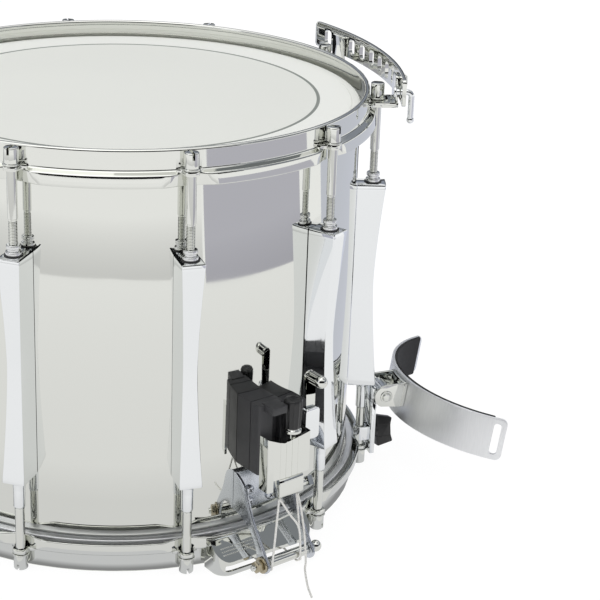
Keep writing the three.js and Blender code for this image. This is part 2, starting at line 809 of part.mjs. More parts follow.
const strainer = turnedTo(strainerAzimuth);
piece('strainer_bracket', bracketSolid(), 'zincSteel', strainer);
piece('snare_roller', rollerSolid(), 'chrome', strainer);
piece('strainer_housing', housingSolid(), 'blackPlastic', strainer);
piece('strainer_block', blockSolid(), 'chrome', strainer);
piece('tension_knob', knobSolid(), 'blackPlastic', strainer);
piece('throw_off_lever', leverSolid(), 'chrome', strainer);
piece('cord_clamp', clampSolid(), 'chrome', strainer);

// Butt end: the same bracket with a fixed clamp that holds the snares' other cord.

const butt = { half: 17, reach: 17, low: 69, high: 94, corner: 3, lip: 46, lipLow: 82 };

function buttClampSolid() {
  const behind = drumCutter(shellRadius + seat, butt.low - overrun, butt.high + overrun);
  const front = shellRadius + butt.reach;
  const body = planSolid(
    roundedRectangle(-butt.half, butt.half, shellRadius - overrun, front, butt.corner),
    butt.low,
    butt.high,
  );
  const lip = planSolid(
    roundedRectangle(
      butt.corner - butt.half,
      butt.half - butt.corner,
      front - butt.corner,
      shellRadius + butt.lip,
      butt.corner,
    ),
    butt.lipLow,
    butt.high,
  );
  return cut(join(body, lip), behind);
}

const buttSide = turnedTo(buttAzimuth);
piece('butt_bracket', bracketSolid(), 'zincSteel', buttSide);
piece('butt_roller', rollerSolid(), 'chrome', buttSide);
piece('butt_clamp', buttClampSolid(), 'chrome', buttSide);

// Snares: wires between two end plates, close under the lower head, and the cords that pull them.

const snare = { wires: 12, pitch: 3, radius: 0.6, setBack: 14.8, plateLength: 9, plateHalf: 19, plateThick: 1.6 };
const snareHigh = rimStand - seat;
const snareMiddle = snareHigh - snare.radius;
const snareEnd = shellRadius - snare.setBack;

function snareSolid() {
  const end = snareEnd;
  const plate = (from, to) => planSolid(
    rectangle(-snare.plateHalf, snare.plateHalf, from, to),
    snareHigh - snare.plateThick,
    snareHigh,
  );
  let solid = join(plate(-end, -end + snare.plateLength), plate(end - snare.plateLength, end));
  for (let i = 0; i < snare.wires; i += 1) {
    const x = (i - (snare.wires - 1) / 2) * snare.pitch;
    solid = join(solid, barOut(snare.radius, -end + seat, end - seat, x, snareMiddle, 4));
  }
  return solid;
}

piece('snare_wires', snareSolid(), 'springSteel', strainer);

// A cord's tube through points given as x, distance from the axis and height.
function cordSolid(points, radius, steps) {
  const route = points.map(([x, depth, height]) => new THREE.Vector3(x, -depth, height));
  const path = new THREE.CatmullRomCurve3(route, false, 'centripetal');
  const section = new THREE.Shape();
  section.absarc(0, 0, radius, 0, 2 * Math.PI);
  return solidOf(new THREE.ExtrudeGeometry(section, { steps, extrudePath: path, curveSegments: 4, bevelEnabled: false }));
}

// A cord runs from the snares' plate through the gate, under the roller and up to a clamp.
const cordRadius = 0.8;
const rollerPass = roller.radius + cordRadius + 2 * seat;
const cordStart = snareEnd + seat;
const cordPlane = snareHigh - snare.plateThick / 2;
const cordFront = rollerDepth + rollerPass;

function cordUnder(x) {
  const slitHeight = (gate.slitLow + gate.slitHigh) / 2;
  const around = [90, 60, 30, 0].map((degrees) => {
    const angle = THREE.MathUtils.degToRad(degrees);
    return [x, rollerDepth + rollerPass * Math.cos(angle), roller.height - rollerPass * Math.sin(angle)];
  });
  return [
    [x, cordStart, cordPlane], [x, hoopRadius, (cordPlane + slitHeight) / 2],
    [x, gateFront, slitHeight - cordRadius], ...around,
  ];
}

const cord = {
  left: -17,
  right: 8.8,
  knotX: 7.1,
  knotHeight: 30.6,
  topLeft: -6,
  topRight: 9.5,
  tailX: 11.8,
  tailTop: 47,
  buttX: 11,
  steps: 24,
};
const cordTopDepth = clampFront - clamp.nose;
const cordTop = clamp.low - seat;

function snareCord() {
  const knot = [cord.knotX, cordFront - cordRadius, cord.knotHeight];
  return join(
    cordSolid([...cordUnder(cord.left), [cord.topLeft, cordTopDepth, cordTop]], cordRadius, cord.steps),
    cordSolid([...cordUnder(cord.right), knot, [cord.topLeft, cordTopDepth, cordTop]], cordRadius, cord.steps),
    cordSolid([knot, [cord.topRight, cordTopDepth, cordTop]], cordRadius, cord.steps / 4),
  );
}

// The cord's free end hangs from the clamp and lies on the floor.
function cordTail() {
  const route = [
    [10.6, 0.3, 47], [11.3, 5, 28], [11.8, 7.3, 10], [10.5, 9.5, 3],
    [6.8, 13.5, 1.1], [-5.6, 32.1, 1.1], [-12.7, 45.4, 1.1],
  ];
  return cordSolid(route.map(([x, ahead, height]) => [x, clampFront + ahead, height]), cordRadius, cord.steps);
}

// The butt end's cord is one loop through the clamp.
function buttCord() {
  const rise = [cord.buttX, cordFront, (roller.height + butt.lipLow) / 2];
  const turn = [cord.buttX / 2, cordFront, butt.lipLow - 5 * cordRadius];
  const half = [...cordUnder(cord.buttX), rise, turn];
  const mirrored = half.map(([x, depth, height]) => [-x, depth, height]).reverse();
  return cordSolid([...half, ...mirrored], cordRadius, 2 * cord.steps);
}

piece('snare_cord', snareCord(), 'whiteCord', strainer);
piece('snare_cord_tail', cordTail(), 'whiteCord', strainer);
piece('butt_cord', buttCord(), 'whiteCord', buttSide);

// Knee rest: a clamp on one lower rod, a toothed hinge and a padded band for the leg.
// It is drawn round that rod, in a frame that faces the way the drum is carried.

const strap = { near: 5.9, thick: 4, half: 9, low: 10.5, eye: 5.4, eyeLow: 21, eyeHigh: 33 };
const hinge = { reach: 15.6, drop: 9, barrel: 7, tooth: 0.6, teeth: 12, half: 11.3, pin: 2.6, head: 5, headLength: 2.6 };
const hingeHeight = lug.bottom - hinge.drop;
const band = {
  tilt: THREE.MathUtils.degToRad(8.3),
  radius: 96.8,
  near: 23.4,
  halfAngle: THREE.MathUtils.degToRad(61),
  low: 43.8,
  high: 78.3,
  thick: 2.4,
  corner: 4,
  slotEdge: 9,
  slotHalf: 3,
  slotMargin: 4.5,
  steps: 26,
};
const bandCentre = band.near + band.radius;
const pad = { thick: 3, nearEdge: 15, farEdge: 3 };
const cheek = { sheet: 2.4, eye: 9.4, low: 55.5, high: 76, base: 2.4 };
const wing = {
  height: 26.6,
  near: 13.3,
  far: 27,
  nearHalf: 13,
  farHalf: 9.8,
  dip: 1.6,
  thick: 8.4,
  neck: 4,
  shank: 3,
  turn: THREE.MathUtils.degToRad(12),
};

const carry = turnedTo(carryAzimuth);
const knee = new THREE.Group();
knee.position.set(-rodCircle * Math.sin(lugPitch / 2), -rodCircle * Math.cos(lugPitch / 2), 0);
carry.add(knee);

function kneeClampSolid() {
  const far = strap.near + strap.thick;
  const plate = planSolid(roundedRectangle(-strap.half, strap.half, strap.near, far, seat), strap.low, hingeHeight);
  const eye = drill(strap.eye, strap.eyeLow, strap.eyeHigh, 2 * smallSides);
  const web = planSolid(rectangle(-strap.eye, strap.eye, 0, far), strap.eyeLow, strap.eyeHigh);
  const toothed = solidOf(new THREE.ExtrudeGeometry(
    ribbedShape(hinge.barrel, hinge.tooth, hinge.teeth),
    { depth: 2 * hinge.half, bevelEnabled: false },
  )).rotate([0, 90, 0]).translate([-hinge.half, -hinge.reach, hingeHeight]);
  const neck = sideSolid(
    shapeOf([
      [strap.near, hingeHeight - hinge.barrel], [hinge.reach, hingeHeight - hinge.barrel + hinge.tooth],
      [hinge.reach, hingeHeight], [strap.near, hingeHeight + hinge.barrel],
    ]),
    -strap.half,
    strap.half,
  );
  const rodBore = bore(rodShank + seat, strap.low, strap.eyeHigh + overrun);
  const pinBore = barAlong(
    hinge.pin + seat,
    -hinge.half - overrun,
    hinge.half + overrun,
    hinge.reach,
    hingeHeight,
    insert.sides,
    bore,
  );
  const screwBore = barOut(wing.shank + seat, 0, far + overrun, 0, wing.height, insert.sides, bore);
  return cut(join(plate, eye, web, toothed, neck), rodBore, pinBore, screwBore);
}

function wingScrewSolid() {
  const outline = new THREE.Shape();
  outline.moveTo(wing.near, -wing.nearHalf);
  outline.lineTo(wing.far, -wing.farHalf);
  outline.quadraticCurveTo(wing.far - 2 * wing.dip, 0, wing.far, wing.farHalf);
  outline.lineTo(wing.near, wing.nearHalf);
  outline.closePath();
  const handle = sideSolid(outline, -wing.thick / 2, wing.thick / 2);
  const neck = barOut(wing.neck, strap.near + strap.thick + seat, wing.near + seat, 0, 0);
  const shank = barOut(wing.shank, rodShank + 2 * seat, wing.near + seat, 0, 0);
  return join(handle, neck, shank).rotate([0, THREE.MathUtils.radToDeg(wing.turn), 0]).translate([0, 0, wing.height]);
}

piece('knee_clamp', kneeClampSolid(), 'chrome', knee);
piece('knee_wing_screw', wingScrewSolid(), 'blackPlastic', knee);

// The band leans: its own frame is tipped back about a level line.
const bandGroup = new THREE.Group();
bandGroup.rotation.x = band.tilt;
knee.add(bandGroup);
const hingeDepth = hinge.reach * Math.cos(band.tilt) - hingeHeight * Math.sin(band.tilt);
const hingeRise = hingeHeight * Math.cos(band.tilt) + hinge.reach * Math.sin(band.tilt);
const bandOuter = band.radius + band.thick / 2;
const bandInner = band.radius - band.thick / 2;

function bandSector(inner, outer, from, to, low, high, steps) {
  return planSolid(arcSector(bandCentre, inner, outer, Math.PI - from, Math.PI - to, steps), low, high);
}

// A cutter that points away from the band's own centre, at an angle along the band.
function alongBand(shape, angle) {
  const tool = frontSolid(shape, -bandOuter - overrun, -bandInner + overrun);
  return tool.rotate([0, 0, -THREE.MathUtils.radToDeg(angle)]).translate([0, -bandCentre, 0]);
}

function cornerCutter(isEnd, isHigh) {
  const along = isEnd ? 1 : -1;
  const up = isHigh ? 1 : -1;
  const height = isHigh ? band.high : band.low;
  const shape = new THREE.Shape();
  shape.moveTo(along * overrun, height + up * overrun);
  shape.lineTo(along * overrun, height - up * band.corner);
  shape.lineTo(0, height - up * band.corner);
  shape.quadraticCurveTo(0, height, -along * band.corner, height);
  shape.lineTo(-along * band.corner, height + up * overrun);
  shape.closePath();
  return alongBand(shape, along * band.halfAngle);
}

function bandSolid() {
  const whole = bandSector(bandInner, bandOuter, -band.halfAngle, band.halfAngle, band.low, band.high, band.steps);
  const slot = alongBand(
    roundedRectangle(
      -band.slotHalf,
      band.slotHalf,
      band.low + band.slotMargin,
      band.high - band.slotMargin,
      band.slotHalf / 2,
    ),
    band.slotEdge / band.radius - band.halfAngle,
  );
  return cut(
    whole,
    slot,
    cornerCutter(true, true),
    cornerCutter(true, false),
    cornerCutter(false, true),
    cornerCutter(false, false),
  );
}

function padSolid() {
  const outer = bandInner - seat;
  const from = pad.nearEdge / band.radius - band.halfAngle;
  const to = band.halfAngle - pad.farEdge / band.radius;
  return bandSector(outer - pad.thick, outer, from, to, band.low + seat, band.high, band.steps);
}

// Two cheeks on a curved base, with the hinge's riveted pin.
function hingeBracketSolid() {
  const inner = hinge.half + seat;
  const outer = inner + cheek.sheet;
  const meet = bandOuter + seat;
  const reach = Math.asin(outer / meet);
  const base = bandSector(meet, meet + cheek.base, -reach, reach, cheek.low, cheek.high, curveSteps);
  const depth = bandCentre - meet;
  const outline = new THREE.Shape();
  outline.moveTo(depth, cheek.low);
  outline.lineTo(depth, cheek.high);
  outline.lineTo(hingeDepth, hingeRise + cheek.eye);
  outline.absarc(hingeDepth, hingeRise, cheek.eye, Math.PI / 2, 1.5 * Math.PI);
  outline.closePath();
  const behindBand = bandSector(band.thick, meet, -Math.PI / 2, Math.PI / 2, cheek.low - overrun, cheek.high + overrun, ringSteps);
  const cheeks = join(sideSolid(outline, -outer, -inner), sideSolid(outline, inner, outer));
  const pinEnd = outer + hinge.headLength;
  const along = (radius, from, to, sides) => barAlong(radius, from, to, hingeDepth, hingeRise, sides);
  return join(
    cut(cheeks, behindBand),
    base,
    along(hinge.pin, -outer - seat, outer + seat, smallSides),
    along(hinge.head, -pinEnd, -outer, smallSides),
    along(hinge.head, outer, pinEnd, smallSides),
  );
}

piece('knee_hinge_bracket', hingeBracketSolid(), 'chrome', bandGroup);
piece('knee_band', bandSolid(), 'brushedAluminium', bandGroup);
piece('knee_pad', padSolid(), 'blackFoam', bandGroup);

// Carrying rail: an upright flat bar with ten slots, bolted to two brackets under rod heads.
// It is bent round a line behind the drum's axis.

const rail = {
  setBack: 90,
  gap: 14.5,
  thick: 3,
  rise: 5.3,
  width: 20,
  slots: 10,
  slotsBetween: 7,
  endMargin: 12.5,
  slotWidth: 9,
  slotMargin: 4,
  slotCorner: 3,
  steps: 20,
};
const railBracket = {
  half: 11.4,
  behind: 5,
  sideDrop: 4,
  side: 1.6,
  sideStart: 2,
  flange: 2,
  flangeHalf: 8,
  bolt: 3,
  head: 6.2,
  headLength: 3.4,
  corner: 2,
};
const rodAcross = rodCircle * Math.sin(lugPitch / 2);
const rodAhead = rodCircle * Math.cos(lugPitch / 2) + rail.setBack;
const rodAngle = Math.atan2(rodAcross, rodAhead);
const rodReach = Math.hypot(rodAcross, rodAhead);
const railInner = rodReach + rail.gap;
const railPitch = 2 * rodAngle / rail.slotsBetween;
const railMiddle = railInner + rail.thick / 2;
const railHalfAngle = railPitch * (rail.slots - 1) / 2 + (rail.endMargin + rail.slotWidth / 2) / railMiddle;
const earTop = heightAt(ear.top, true);
const railLow = earTop + rail.rise;
const railHigh = railLow + rail.width;
const slotLow = railLow + rail.slotMargin;
const slotHigh = railHigh - rail.slotMargin;

const alongRail = (solid, angle) => solid.rotate([0, 0, THREE.MathUtils.radToDeg(angle)]).translate([0, rail.setBack, 0]);

function railSolid() {
  const outer = railInner + rail.thick;
  let solid = planSolid(
    arcSector(0, railInner, outer, -railHalfAngle, railHalfAngle, rail.steps),
    railLow,
    railHigh,
  ).translate([0, rail.setBack, 0]);
  const slot = frontSolid(
    roundedRectangle(-rail.slotWidth / 2, rail.slotWidth / 2, slotLow, slotHigh, rail.slotCorner),
    railInner - overrun,
    outer + overrun,
    1,
  );
  for (let i = 0; i < rail.slots; i += 1) {
    solid = cut(solid, alongRail(slot, (i - (rail.slots - 1) / 2) * railPitch));
  }
  return solid;
}

function railBracketSolid(angle) {
  const low = earTop + seat;
  const high = low + railPlate;
  const inner = railInner - seat;
  const outer = railInner + rail.thick + seat;
  const middle = (slotLow + slotHigh) / 2;
  const near = rodReach - railBracket.behind;
  const sideFrom = rodReach + railBracket.sideStart;
  const plate = planSolid(roundedRectangle(-railBracket.half, railBracket.half, near, inner, railBracket.corner), low, high);
  const side = (from, to) => planSolid(rectangle(from, to, sideFrom, inner), high - railBracket.sideDrop, high);
  const flange = frontSolid(
    roundedRectangle(-railBracket.flangeHalf, railBracket.flangeHalf, low, slotHigh, railBracket.corner),
    inner - railBracket.flange,
    inner,
  );
  const bolt = barOut(railBracket.bolt, inner - railBracket.flange, outer + seat, 0, middle, rodSides);
  const head = barOut(railBracket.head, outer, outer + railBracket.headLength, 0, middle, 6);
  const whole = join(
    plate,
    side(-railBracket.half, railBracket.side - railBracket.half),
    side(railBracket.half - railBracket.side, railBracket.half),
    flange,
    bolt,
    head,
  );
  const rodHole = outwards(bore(rodShank + seat, low - overrun, high + overrun), rodReach);
  const drumSide = drumCutter(hoopRadius + seat, low - overrun, high + overrun);
  return cut(alongRail(cut(whole, rodHole), angle), drumSide);
}

piece('carry_rail', railSolid(), 'chrome', carry);
piece('rail_bracket_front', railBracketSolid(-rodAngle), 'chrome', carry);
piece('rail_bracket_rear', railBracketSolid(rodAngle), 'chrome', carry);

// A hook for the sling hangs in the rail's last slot.

const hook = { radius: 2.2, bend: 2.5, tip: 2.8, lift: 0.85, head: 3.8, headLength: 2, inside: 3, outside: 5.5, drop: 21 };

function hookSolid() {
  const level = slotLow + hook.radius + hook.lift;
  const low = slotLow - hook.drop + hook.radius;
  const outer = railInner + rail.thick + hook.outside;
  const start = railInner - hook.inside;
  const ballAt = (radius, height) => solidOf(new THREE.SphereGeometry(radius, smallSides, smallSides / 2))
    .translate([0, -outer, height]);
  const shank = barOut(hook.radius, start - seat, outer, 0, level);
  const leg = drill(hook.radius, low, level, smallSides).translate([0, -outer, 0]);
  const head = barOut(hook.head, start - hook.headLength, start, 0, level, smallSides);
  const whole = join(shank, leg, head, ballAt(hook.bend, level), ballAt(hook.tip, low));
  return alongRail(whole, -railPitch * (rail.slots - 1) / 2);
}

piece('sling_hook', hookSolid(), 'chrome', carry);

// The origin is the middle of the underside, measured without the cord's free end.
drum.updateMatrixWorld(true);
const bounds = new THREE.Box3();
drum.traverse((item) => {
  if (item.isMesh && item.name !== 'snare_cord_tail') bounds.expandByObject(item, true);
});
const middle = bounds.getCenter(new THREE.Vector3());
drum.position.set(-middle.x, -middle.y, -bounds.min.z);

export default drum;
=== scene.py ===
# %% [markdown]
# A marching snare drum, dressed in Blender
#
# The drum is a bright, hard, man-made thing: almost everything you see is chrome plate, and chrome
# has no colour of its own. What reads as "chrome" is a sharp picture of the room, so two things
# matter in this lesson: the shapes must be truly round where the real ones are turned or pressed,
# and the studio must have something to reflect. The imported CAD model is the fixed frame. It says
# where every piece goes, and each Blender piece is built in the same place, from the same sizes.

# %% Libraries and the fixed frame
import json
from math import acos, asin, cos, pi, radians, sin, sqrt, tan

import bmesh
import bpy
import numpy as np
from mathutils import Matrix, Vector


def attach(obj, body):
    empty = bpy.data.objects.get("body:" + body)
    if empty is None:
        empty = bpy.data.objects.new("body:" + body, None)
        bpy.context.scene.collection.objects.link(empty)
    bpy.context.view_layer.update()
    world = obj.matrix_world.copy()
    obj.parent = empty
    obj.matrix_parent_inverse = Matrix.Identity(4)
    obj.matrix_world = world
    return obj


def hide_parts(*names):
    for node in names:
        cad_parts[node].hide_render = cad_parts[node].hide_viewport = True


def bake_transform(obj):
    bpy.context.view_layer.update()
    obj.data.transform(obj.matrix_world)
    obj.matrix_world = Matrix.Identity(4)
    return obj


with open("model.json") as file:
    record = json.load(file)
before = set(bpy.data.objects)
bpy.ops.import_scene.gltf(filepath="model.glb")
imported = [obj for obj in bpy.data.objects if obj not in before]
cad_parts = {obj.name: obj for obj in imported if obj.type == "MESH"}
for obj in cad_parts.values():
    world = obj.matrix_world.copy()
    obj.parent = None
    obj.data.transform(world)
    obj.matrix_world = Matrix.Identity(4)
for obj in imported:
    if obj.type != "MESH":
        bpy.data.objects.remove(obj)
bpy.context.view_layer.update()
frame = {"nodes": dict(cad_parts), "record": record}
nodes = frame["nodes"]

# %% [markdown]
# Sizes. The real drum is known in millimetres, and Blender works in metres, so every length below
# is in millimetres and is multiplied by MM once, when a mesh is made. The drum's axis stands a
# little to the left of the origin, because the origin is the middle of the whole object.

# %% Sizes that several pieces share
MM = 0.001
AXIS = Vector((-45.2555, 0, 0)) * MM
SHELL_R = 177.8
HOOP_R = 184.0
ROD_CIRCLE = 190.0
HEIGHT = 313.8
LUG_COUNT = 10
FIRST_LUG = radians(13.6)
LUG_PITCH = 2 * pi / LUG_COUNT
GATE_AT = FIRST_LUG + LUG_PITCH / 2
STRAINER_AT = GATE_AT + radians(1.5)
BUTT_AT = STRAINER_AT + pi
CARRY_AT = FIRST_LUG + 2.5 * LUG_PITCH


def turned_to(azimuth):
    """The place of a frame that is turned round the drum's axis: x along the shell, -y outwards."""
    return Matrix.Translation(AXIS) @ Matrix.Rotation(azimuth, 4, "Z")


# %% [markdown]
# The camera stands in front of the drum and a little above it, looking down by about 22 degrees
# with a long lens, so the head shows as a flat ellipse and the lugs stay upright. A long lens far
# away keeps the near and the far lugs almost the same size, which is what makes a product
# photograph look calm.

# %% Camera
CAMERA_AT = Vector((-2.2, -1316.3, 664.4)) * MM + AXIS
YAW, PITCH, ROLL = radians(6.117), radians(21.8), radians(2.202)
SENSOR_MM = 36
FOCAL_SHARE = 1812.7 / 600


def aim(yaw, pitch, roll):
    """A camera's rotation from its yaw to the right, its pitch down and its roll."""
    ahead = Vector((sin(yaw) * cos(pitch), cos(yaw) * cos(pitch), -sin(pitch)))
    level = Vector((cos(yaw), -sin(yaw), 0))
    above = level.cross(ahead)
    right = level * cos(roll) + above * sin(roll)
    up = above * cos(roll) - level * sin(roll)
    return Matrix((right, up, -ahead)).transposed()


camera_data = bpy.data.cameras.new("camera")
camera = bpy.data.objects.new("camera", camera_data)
bpy.context.scene.collection.objects.link(camera)
bpy.context.scene.camera = camera
camera_data.sensor_width = SENSOR_MM
camera_data.lens = FOCAL_SHARE * SENSOR_MM
camera_data.clip_start, camera_data.clip_end = 0.05, 60
camera.matrix_world = Matrix.Translation(CAMERA_AT) @ aim(YAW, PITCH, ROLL).to_4x4()

# %% [markdown]
# Small tools. A colour is written as the sRGB hex value that a picture shows, and turned to the
# linear value that the shader wants in one place. Every node, in a material or in a geometry
# tree, is added by one function, so a tree reads as a list of what it holds.

# %% Colour and node helpers
def colour(text):
    """An sRGB hex colour as linear values."""
    shares = [int(text[i:i + 2], 16) / 255 for i in (1, 3, 5)]
    return [s / 12.92 if s <= 0.04045 else ((s + 0.055) / 1.055) ** 2.4 for s in shares] + [1.0]


def add(tree, kind, inputs=None, **settings):
    """Adds a node: settings are its own properties, inputs are values or sockets to link from."""
    node = tree.nodes.new(kind)
    for key, value in settings.items():
        setattr(node, key, value)
    for key, value in (inputs or {}).items():
        if isinstance(value, bpy.types.NodeSocket):
            tree.links.new(value, node.inputs[key])
        else:
            node.inputs[key].default_value = value
    return node


def new_finish(name):
    """An empty node material and its tree."""
    finish = bpy.data.materials.new(name)
    finish.use_nodes = True
    finish.node_tree.nodes.clear()
    return finish, finish.node_tree


def place_in(tree, space="Object"):
    """Where a point lies: in metres in Object space."""
    return add(tree, "ShaderNodeTexCoord").outputs[space]


def from_axis(tree):
    """How far a point lies from the drum's axis."""
    away = add(tree, "ShaderNodeVectorMath", {0: place_in(tree), 1: tuple(AXIS)}, operation="SUBTRACT")
    flat = {0: away.outputs["Vector"], 1: (1.0, 1.0, 0.0)}
    level = add(tree, "ShaderNodeVectorMath", flat, operation="MULTIPLY")
    reach = add(tree, "ShaderNodeVectorMath", {0: level.outputs["Vector"]}, operation="LENGTH")
    return reach.outputs["Value"]


def noise(tree, scale, detail, where=None):
    """A noise pattern that is fixed to the object."""
    inputs = {"Vector": where or place_in(tree), "Scale": scale, "Detail": detail}
    return add(tree, "ShaderNodeTexNoise", inputs).outputs["Fac"]


def ranged(tree, value, low, high, start=0.0, end=1.0):
    """Turns a value between start and end into one between low and high."""
    inputs = {"Value": value, "From Min": start, "From Max": end, "To Min": low, "To Max": high}
    return add(tree, "ShaderNodeMapRange", inputs).outputs["Result"]


def mixed(tree, share, first, second):
    """A mix of two colours, which are hex values or sockets."""
    a, b = [colour(c) if isinstance(c, str) else c for c in (first, second)]
    return add(tree, "ShaderNodeMix", {"Factor": share, "A": a, "B": b}, data_type="RGBA").outputs["Result"]


def bumped(tree, height, depth_mm, strength=1.0, **settings):
    """The normal of a surface that a height pattern raises by depth_mm."""
    inputs = {"Height": height, "Distance": depth_mm * MM, "Strength": strength}
    return add(tree, "ShaderNodeBump", inputs, **settings).outputs["Normal"]


def surface(tree, inputs):
    """Ends a material's tree in a principled shader."""
    shader = add(tree, "ShaderNodeBsdfPrincipled", inputs)
    add(tree, "ShaderNodeOutputMaterial", {"Surface": shader.outputs["BSDF"]})


def glowing(tree, base, text, level):
    """Ends a material's tree in matt paper that glows."""
    surface(tree, {
        "Base Color": colour(base), "Roughness": 0.9, "Specular IOR Level": 0.0,
        "Emission Color": colour(text), "Emission Strength": level,
    })


# %% [markdown]
# The studio. Chrome shows the room, so the room is drawn for it, as a tent of white cloth: pale below,
# a dark stripe just above the horizon, a grey band, and a bright ceiling. A single white room would
# turn the chrome to white paper. Round the drum lie flat cards that only reflections see. The rings
# close to it darken towards its rim: a painted contact shadow, such as the floor has near a real
# object, which the chrome mirrors. The slate card gives the shell its slate-coloured patch behind the
# second lug, and the black strips give it a dark line near each side.

# %% World and floor
TENT_STOPS = (
    (0.0, "#ffffff"), (0.56, "#ffffff"), (0.575, "#2a2b2e"), (0.61, "#2a2b2e"),
    (0.63, "#8a8f99"), (0.74, "#8f949e"), (0.84, "#ffffff"),
)
FLOOR_HALF = 9.0
FLOOR_LEVEL = -0.0003

world = bpy.data.worlds.new("studio")
bpy.context.scene.world = world
bpy.context.scene.view_settings.view_transform = "Standard"
world.use_nodes = True
tree = world.node_tree
tree.nodes.clear()
height = add(tree, "ShaderNodeSeparateXYZ", {"Vector": place_in(tree, "Generated")}).outputs["Z"]
tent = add(tree, "ShaderNodeValToRGB", {"Fac": ranged(tree, height, 0.0, 1.0, -1.0)})
while len(tent.color_ramp.elements) < len(TENT_STOPS):
    tent.color_ramp.elements.new(0.5)
for stop, (share, text) in zip(tent.color_ramp.elements, TENT_STOPS):
    stop.position = share
    stop.color = colour(text)
sky = add(tree, "ShaderNodeBackground", {"Color": tent.outputs["Color"], "Strength": 1.0})
add(tree, "ShaderNodeOutputWorld", {"Surface": sky.outputs["Background"]})


def flat_sheet(name, corners, finish):
    """A flat stage sheet through the given corners, in metres."""
    mesh = bpy.data.meshes.new(name)
    mesh.from_pydata(corners, [], [list(range(len(corners)))])
    sheet = bpy.data.objects.new(name, mesh)
    sheet.data.materials.append(finish)
    bpy.context.scene.collection.objects.link(sheet)
    return sheet


floor_finish, tree = new_finish("white paper sweep")
glowing(tree, "#6e6e6e", "#ffffff", 0.91)
flat_sheet("floor", [
    (x * FLOOR_HALF, y * FLOOR_HALF, FLOOR_LEVEL) for x, y in ((-1, -1), (1, -1), (1, 1), (-1, 1))
], floor_finish)

# %% Cards, flag and lights
CARD_STEPS = 32
RING_LEVEL, STRIP_LEVEL = 0.0004, 0.002
FLAG_AT = Vector((0.74, -0.14, 1.05))
FLAG_FACES = Vector((0.07, -0.17, 0.02))
FLAG_HALF = 0.3
WALL_Y, WALL_HALF, WALL_LOW, WALL_HIGH = -3.2, 4, 0.3, 3.2


def card_finish(name, text, near=0.3, far=2.0, near_level=1.0, far_level=1.0):
    """A glowing card whose light changes with the distance from the drum's axis."""
    finish, tree = new_finish(name)
    glowing(tree, "#000000", text, ranged(tree, from_axis(tree), near_level, far_level, near, far))
    return finish


def hidden_sheet(name, corners, finish):
    """A sheet that neither the picture nor the diffuse light has, so only mirrors show it."""
    sheet = flat_sheet(name, corners, finish)
    sheet.visible_camera = False
    sheet.visible_diffuse = False
    sheet.visible_shadow = False


def card(name, finish, start, end, near=0.24, near_end=None, far=2.6, level=0.001):
    """A card over a sector of the floor, in degrees. Its near edge runs from near to near_end."""
    near_end = near_end or near
    shares = [i / CARD_STEPS for i in range(CARD_STEPS + 1)]
    edge = [(near + (near_end - near) * s, s) for s in shares] + [(far, s) for s in reversed(shares)]
    corners = []
    for reach, share in edge:
        angle = radians(start + (end - start) * share)
        corners.append(AXIS + Vector((reach * sin(angle), -reach * cos(angle), level)))
    hidden_sheet(name, corners, finish)


# Painted contact shadow: each ring's glow falls off towards the drum's rim, and the chrome mirrors it as a
# shaded floor.
RINGS = (
    ("contact_ring", card_finish("contact shadow ring", "#fafbff", 0.187, 0.192, 0.32, 0.72), 0.1845, 0.21),
    ("inner_ring", card_finish("inner ring", "#ffffff", 0.25, 0.30, 0.80, 0.885), 0.21, 0.30),
    ("outer_ring", card_finish("outer ring", "#ffffff", 0.30, 0.87, 0.89, 0.965), 0.30, 1.0),
)
for half, start in (("front", -90), ("rear", 90)):
    for name, finish, near, far in RINGS:
        card(f"{name}_{half}", finish, start, start + 180, near, far=far, level=RING_LEVEL)
card("side_card", card_finish("slate card", "#c4c3ce", 0.84, 1.2, 0.86, 1.0), 35, 85, 0.868, 0.82)
pearl = card_finish("pearl card", "#ffffff", 0.95, 1.55, 0.73, 1.0)
card("front_card_left", pearl, -100, -5, 0.90, 0.94)
card("front_card_right", pearl, -5, 34, 0.94, 0.90)
mist = card_finish("mist card", "#d2d5e1")
card("right_card", mist, 100, 178)
card("left_card", mist, 182, 255)
ink_card = card_finish("black strip", "#17181a")
card("left_strip", ink_card, 204, 216, level=STRIP_LEVEL)
card("right_strip", ink_card, 150, 157, level=STRIP_LEVEL)

# A grey flag hangs up on the right. The sloping roof of the front snare gate mirrors it. A dark
# wall far behind the camera draws the thin dark lines along the hoops' rounded edges.
facing = (FLAG_AT - FLAG_FACES).normalized()
across = facing.cross(Vector((0, 0, 1))).normalized() * FLAG_HALF
upwards = across.cross(facing)
hidden_sheet("roof_flag", [
    FLAG_AT + across * u + upwards * v for u, v in ((1, 1), (-1, 1), (-1, -1), (1, -1))
], card_finish("grey flag", "#85898e"))
hidden_sheet("dark_wall", [
    (-WALL_HALF, WALL_Y, WALL_LOW), (WALL_HALF, WALL_Y, WALL_LOW),
    (WALL_HALF, WALL_Y, WALL_HIGH), (-WALL_HALF, WALL_Y, WALL_HIGH),
], ink_card)

for name, position, size, power in (
    ("top_softbox", (-0.4, -0.3, 2.2), 1.6, 5), ("left_softbox", (-2.0, -1.6, 1.2), 1.2, 4),
):
    softbox = bpy.data.lights.new(name, "AREA")
    softbox.size = size
    softbox.energy = power
    light = bpy.data.objects.new(name, softbox)
    light.location = position
    aimed = Vector((0, 0, 0.2)) - Vector(position)
    light.rotation_euler = aimed.to_track_quat("-Z", "Y").to_euler()
    bpy.context.scene.collection.objects.link(light)

# %% [markdown]
# Finishes. Each starts from what the real surface is made of and how it was worked. Patterns are
# placed with Object coordinates, in metres, so their scale can be worked out from a real size.

